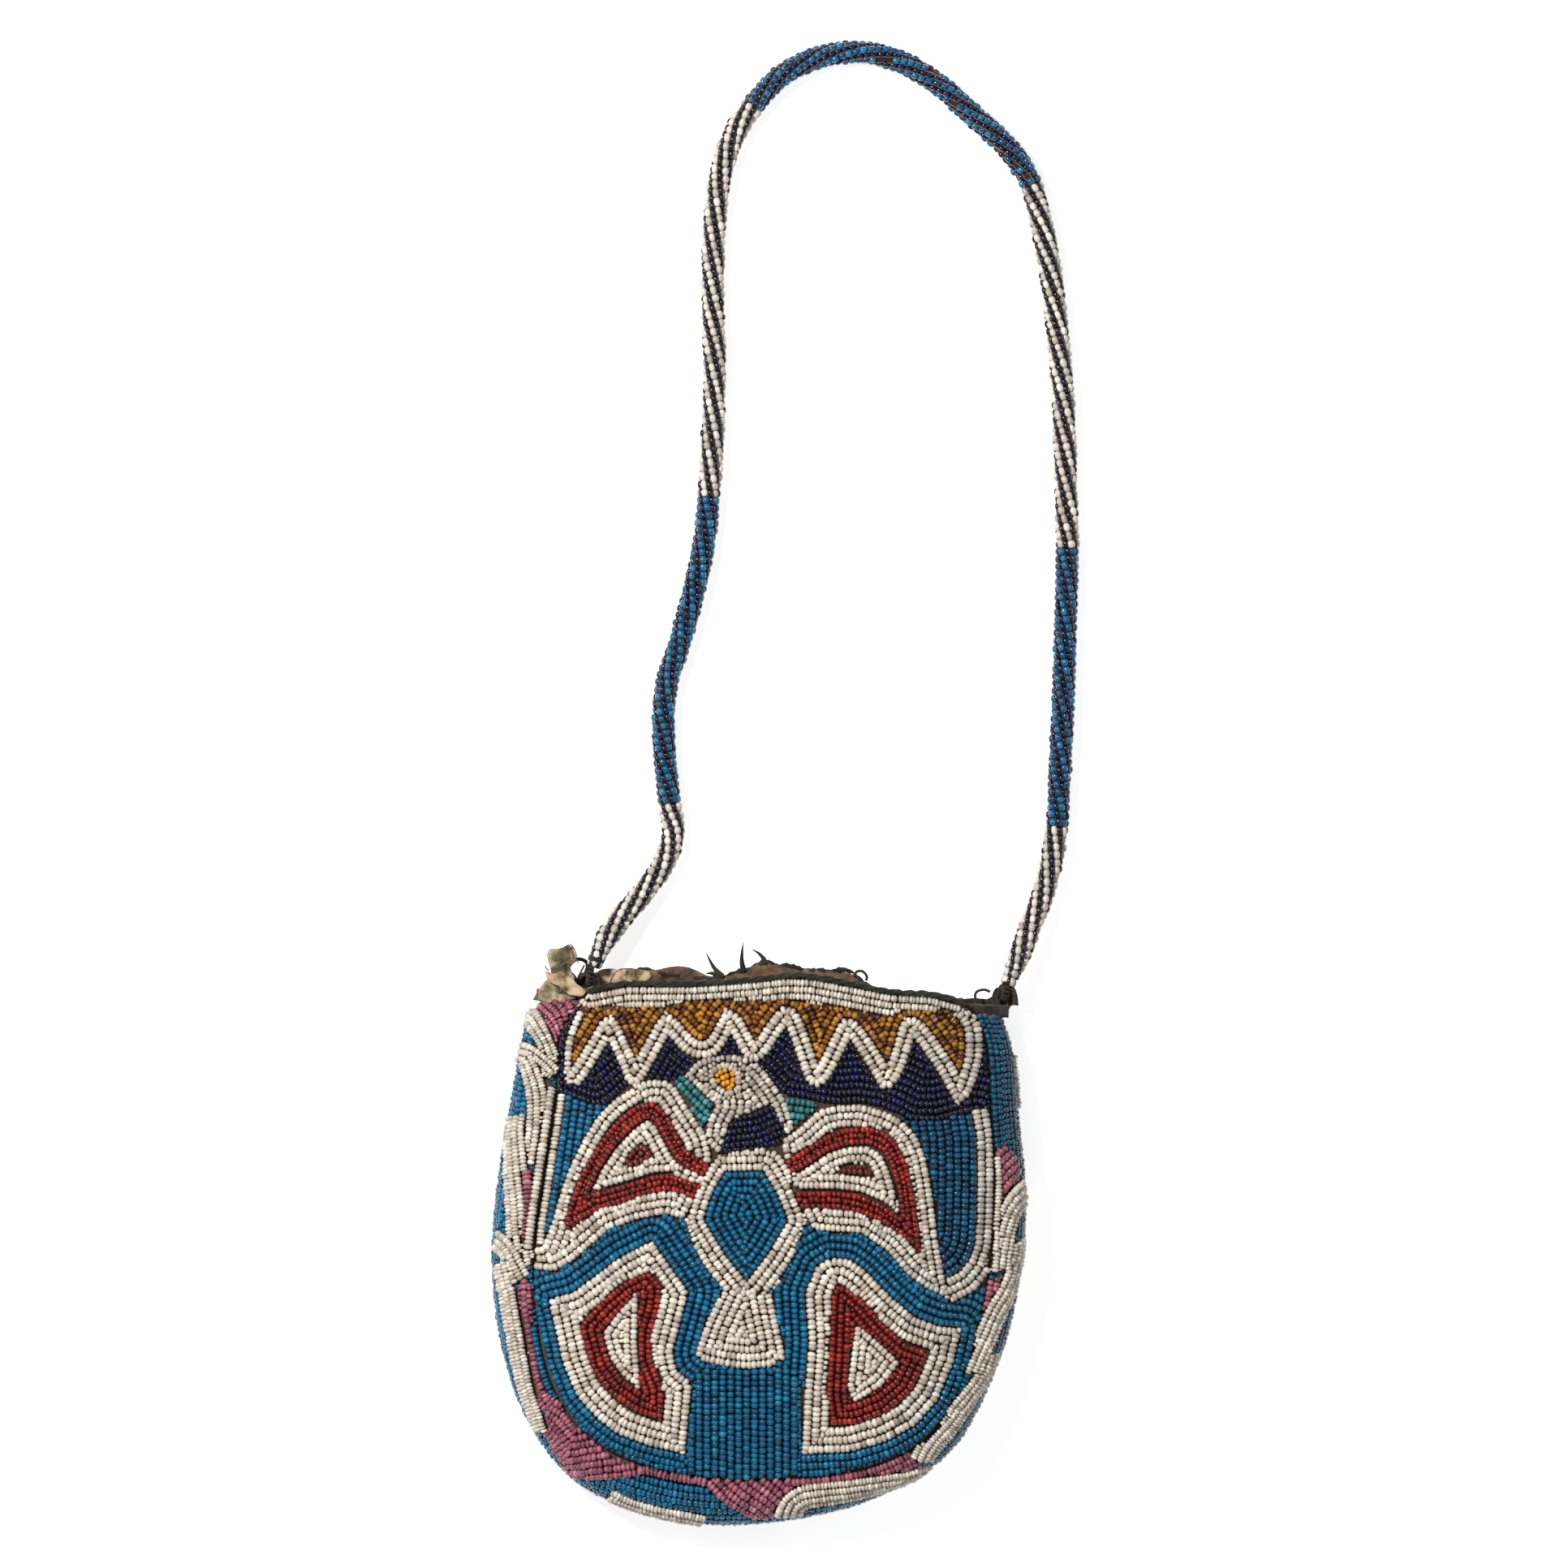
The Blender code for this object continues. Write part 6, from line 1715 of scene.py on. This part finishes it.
# Folds of the frayed corner: each one's outline, its height over the tape, and how it is crumpled
TUFT_FOLDS = (
    ("tuft_green_fold", ((656, 1232), (667, 1214), (673, 1207), (680, 1206), (694, 1210), (703, 1220),
                         (711, 1229), (700, 1234), (680, 1236)), 0.0, (1500, 900), GREEN_CLOTH),
    ("tuft_pale_fold", ((672, 1196), (677, 1198), (683, 1200), (691, 1196), (702, 1204), (710, 1212),
                        (718, 1217), (722, 1222), (718, 1228), (702, 1226), (696, 1222), (691, 1217),
                        (687, 1214), (680, 1212), (674, 1208)), 0.0016, (900, 1500), PALE_COTTON),
    ("tuft_upper_fold", ((673, 1176), (677, 1169), (687, 1169), (694, 1167), (700, 1163), (706, 1168),
                         (709, 1177), (707, 1186), (703, 1192), (705, 1199), (709, 1206), (702, 1209),
                         (692, 1203), (680, 1202), (677, 1190)), 0.0008, (1300, 1700), GREEN_CLOTH),
)
# Pace of the tuft's waves the other way, and the share of the second one
TUFT_PACES = (400, 700)
TUFT_SECOND_SHARE = 0.6
# Flaps low under the strap's ends, clear of its swing, and a pale fold of the lining beside them
CORNER_FLAPS = (
    ("left_pale_flap", (
        (702, 1211), (716, 1211), (724, 1204), (732, 1200), (741, 1194), (756, 1193), (770, 1199),
        (770, 1218), (742, 1224), (712, 1231), (702, 1227),
    ), PALE_COTTON, "left_frayed_tuft"),
    ("right_dark_flap", (
        (1184, 1231), (1200, 1229.5), (1217, 1231), (1226, 1225), (1231, 1214), (1240, 1209),
        (1250, 1214), (1251, 1228), (1250, 1237), (1239, 1244), (1236, 1251), (1204, 1251), (1190, 1246),
    ), OLIVE, "right_corner_tape"),
)
FLAP_HEIGHT = 0.0049
FLAP_WAVE_SHARE = 0.3
FLAP_PACES = (900, 600)
PALE_EDGE_THICKNESS = 0.0004
PALE_EDGE_RISE = 0.0005
PALE_EDGE_PX = (
    (753, 1214), (755, 1205), (760, 1197), (770, 1194), (786, 1194), (800, 1197), (803, 1204),
    (796, 1209), (775, 1212), (760, 1214),
)
CORNER_THREADS = (
    ("left_dark_loops", OLIVE, 0.00055, "left_frayed_tuft", (
        ((701, 1184), (708, 1182), (716, 1182), (722, 1185), (724, 1191), (722, 1198), (718, 1206),
         (715, 1213)),
        ((701, 1197), (706, 1202), (710, 1208), (715, 1214)),
    )),
    ("left_pale_loops", TAN_THREAD, 0.00022, "left_frayed_tuft", (
        ((720, 1189), (716, 1197), (712, 1205), (711, 1213)),
        ((733, 1191), (726, 1198), (722, 1205), (719, 1213)),
        ((727, 1193), (721, 1200), (717, 1208), (716, 1214)),
    )),
    ("right_brown_threads", BROWN_THREAD, 0.0005, "right_corner_tape", (
        ((1213, 1233), (1223, 1235), (1234, 1239), (1244, 1241)),
        ((1222, 1230), (1230, 1232), (1238, 1236), (1249, 1236)),
        ((1226, 1225), (1231, 1231), (1238, 1235), (1243, 1239)),
    )),
)
CORNER_THREAD_WAVE = 0.0003
FOLD_HEIGHT = 0.0011
FOLD_THICKNESS = 0.0006
TUFT_THREAD_HEIGHT = 0.0022
TUFT_THREAD_WAVE = 0.0006
TUFT_THREAD_RADIUS = 0.0002
TUFT_THREADS_PX = (
    ((676, 1196), (673, 1193), (672, 1190)),
    ((701, 1164), (704, 1172), (707, 1180), (708, 1186)),
    ((703, 1163), (708, 1170), (710, 1178), (708, 1184)),
    ((690, 1190), (698, 1186), (704, 1188), (710, 1184)),
    ((684, 1218), (690, 1220), (697, 1216)),
    ((706, 1184), (711, 1183), (712, 1186)),
)
MIDDLE_THREAD_PX = ((1052, 1203.5), (1056, 1197), (1063, 1197), (1068, 1203), (1067, 1208.5))
RIGHT_THREAD_PX = ((1203, 1234), (1201.5, 1226), (1205, 1221), (1213, 1219.5), (1220, 1222))
MIDDLE_THREAD_HEIGHT = 0.0185


def thread_run(points_px, steps, height, wave=0, rise=0):
    """A smooth thread over picture places, that ripples or rises from its height over the table."""
    run = spline(at(points_px), steps)
    count = len(run)
    return np.column_stack([run, height + wave * np.sin(np.arange(count)) + np.linspace(0, rise, count)])


def add_fold(name, outline_px, top, thickness, cloth, step, node):
    """A small fold of cloth over an outline in the picture."""
    loop = at(outline_px)
    fold = cloth_sheet(name, loop, top, thickness, cloth, step)
    finish_piece(fold, "pouch", node)


def make_mouth():
    """The bound edge of the front, the lining's rim, the frayed tuft and the loose threads."""
    edge = evenly(spline(at(FRONT_EDGE_PX), EDGE_STEPS), EDGE_STEP)
    middle = offset_line(edge, EDGE_BINDING_WIDTH / 2)
    if middle[:, 1].mean() < edge[:, 1].mean():
        middle = offset_line(edge, -EDGE_BINDING_WIDTH / 2)
    heights = front_height(middle) - EDGE_BINDING_DROP - EDGE_BINDING_WIDTH / 2
    rng = np.random.default_rng(15)
    line = np.column_stack([middle, heights]) + EDGE_STRAY * rng.normal(size=(len(middle), 3))
    turns = []
    for ply in range(EDGE_PLIES):
        angle = np.arange(len(line)) * EDGE_TURN + ply * 2 * math.pi / EDGE_PLIES
        around_line = np.column_stack([np.zeros(len(line)), np.cos(angle), np.sin(angle)])
        turns.append(line + EDGE_PLY_REACH * around_line)
    add_threads("front_edge_cord", turns, EDGE_PLY_RADIUS, OLIVE, "front_edge_binding")
    make_rim()
    make_tuft()
    for side, route, height in (("middle", MIDDLE_THREAD_PX, MIDDLE_THREAD_HEIGHT),
                                ("right", RIGHT_THREAD_PX, STRAP_AXIS_HEIGHT)):
        run = thread_run(route, CURL_STEPS, height)
        add_threads(f"{side}_curled_thread", [run], CURLED_THREAD_RADIUS, OLIVE, f"{side}_loose_thread")


def make_rim():
    """The lining's dark rim, and the torn threads that stand out of it."""
    rng = np.random.default_rng(16)
    line = evenly(spline(at(RIM_PX), EDGE_STEPS), RIM_STEP)
    count = len(line)
    heights = lining_height(line) - LINING_THICKNESS / 2
    line = np.column_stack([line, heights]) + RIM_STRAY * rng.normal(size=(count, 3))
    swell = RIM_SWELL_SHARE * np.sin(np.arange(count) * RIM_SWELL_PACE)
    widths = 1 + swell + RIM_UNEVEN_SHARE * rng.normal(size=count)
    add_threads("lining_rim", [line], RIM_RADIUS, OLIVE, "front_lining", widths=widths)
    levels = [front_height(at(points[:1]))[0] - LINING_TOP for points in TORN_THREADS_PX]
    lines = [thread_run(points, THREAD_STEPS, level, rise=TORN_RISE)
             for points, level in zip(TORN_THREADS_PX, levels)]
    add_threads("torn_lining_threads", lines, TORN_THREAD_RADIUS, OLIVE, "front_lining",
                widths=np.linspace(1, TORN_TIP_SHARE, len(lines[0])))


def make_tuft():
    """The frayed corner: crumpled folds of cloth over the tape, with loose threads."""
    low = TAPE_HIGH + FOLD_HEIGHT + FOLD_THICKNESS
    for name, outline, lift, (across, along), cloth in TUFT_FOLDS:
        def top(p, lift=lift, across=across, along=along):
            first = np.sin(p[:, 0] * across + p[:, 1] * TUFT_PACES[0])
            second = np.sin(p[:, 1] * along - p[:, 0] * TUFT_PACES[1])
            return low + lift + FOLD_HEIGHT / 2 * (first + TUFT_SECOND_SHARE * second)

        add_fold(name, outline, top, FOLD_THICKNESS, cloth, FOLD_STEP, "left_frayed_tuft")
    lines = [thread_run(points, THREAD_STEPS, low + TUFT_THREAD_HEIGHT, TUFT_THREAD_WAVE)
             for points in TUFT_THREADS_PX]
    add_threads("left_tuft_threads", lines, TUFT_THREAD_RADIUS, TAN_THREAD, "left_frayed_tuft", resolution=1)


def flap_height(points):
    wave = np.sin(points @ FLAP_PACES)
    return FLAP_HEIGHT + FLAP_WAVE_SHARE * FOLD_HEIGHT * wave


def make_corners():
    """Flaps of cloth and loops of thread under the strap's ends, and the lining's pale edge."""
    for name, outline, cloth, node in CORNER_FLAPS:
        add_fold(name, outline, flap_height, FOLD_THICKNESS, cloth, CORNER_STEP, node)
    add_fold("lining_pale_edge", PALE_EDGE_PX, lambda p: lining_height(p) + PALE_EDGE_RISE,
             PALE_EDGE_THICKNESS, PALE_COTTON, CORNER_STEP, "front_lining")
    for name, material, radius, node, routes in CORNER_THREADS:
        lines = [thread_run(route, THREAD_STEPS, FLAP_HEIGHT, CORNER_THREAD_WAVE) for route in routes]
        add_threads(name, lines, radius, material, node, resolution=1)


# Stage
FLOOR_REACH = 3.0
FLOOR_DROP = 0.0005
FLOOR_GREY = 0.86
FLOOR_ROUGHNESS = 0.95
FLOOR_GLOW = 0.75
WORLD_STRENGTH = 0.09
CAMERA_HEIGHT = 1.2
CLIP_START = 0.01
WHITE = (1, 1, 1, 1)
# Each lamp's place, size and power
LAMPS = (
    ("key_lamp", (-0.75, 0.6, 1.4), 0.26, 29),
    ("fill_lamp", (0.9, 0.1, 1.3), 0.9, 3),
    ("low_lamp", (0.1, -1.1, 1.1), 0.7, 2.5),
)


def make_stage():
    """A pale floor that looks white but keeps a soft shadow, even lamps, and the level view down."""
    corners = [(x * FLOOR_REACH, y * FLOOR_REACH, 0) for x, y in ((-1, -1), (1, -1), (1, 1), (-1, 1))]
    floor = mesh_object("floor", corners, [(0, 1, 2, 3)], floor_material())
    floor.location.z = -FLOOR_DROP
    world = bpy.data.worlds.new("studio")
    bpy.context.scene.world = world
    world.use_nodes = True
    background = world.node_tree.nodes["Background"]
    background.inputs["Color"].default_value = WHITE
    background.inputs["Strength"].default_value = WORLD_STRENGTH
    for name, place, size, power in LAMPS:
        lamp = bpy.data.lights.new(name, "AREA")
        lamp.size = size
        lamp.energy = power
        obj = add_object(name, lamp)
        obj.location = place
        obj.rotation_euler = (-Vector(place)).to_track_quat("-Z", "Y").to_euler()
    camera = bpy.data.cameras.new("camera")
    camera.type = "ORTHO"
    camera.ortho_scale = PICTURE_PX * PIXEL[0]
    camera.clip_start = CLIP_START
    obj = add_object("camera", camera)
    obj.location = (*at((PICTURE_PX / 2, PICTURE_PX / 2)), CAMERA_HEIGHT)
    bpy.context.scene.camera = obj
    bpy.context.scene.view_settings.view_transform = "Standard"


def floor_material():
    """White for the camera and in reflections, with the object's shadow left in it."""
    material, tree, shader = new_material("pale_floor", FLOOR_ROUGHNESS)
    shader.inputs["Base Color"].default_value = (FLOOR_GREY, FLOOR_GREY, FLOOR_GREY, 1)
    shader.inputs["Emission Color"].default_value = WHITE
    rays = add_node(tree, "ShaderNodeLightPath")
    seen = (rays, "Is Camera Ray")
    for ray in ("Is Glossy Ray", "Is Transmission Ray"):
        either = add_node(tree, "ShaderNodeMath", operation="MAXIMUM")
        wire(tree, *seen, either, 0)
        wire(tree, rays, ray, either, 1)
        seen = (either, "Value")
    strength = add_node(tree, "ShaderNodeMath", operation="MULTIPLY")
    wire(tree, *seen, strength, 0)
    strength.inputs[1].default_value = FLOOR_GLOW
    wire(tree, strength, "Value", shader, "Emission Strength")
    return material


make_stage()
make_strap()
make_front_beads()
make_band_beads()
make_back_beads()
make_cloth()
make_fastenings()
make_mouth()
make_corners()
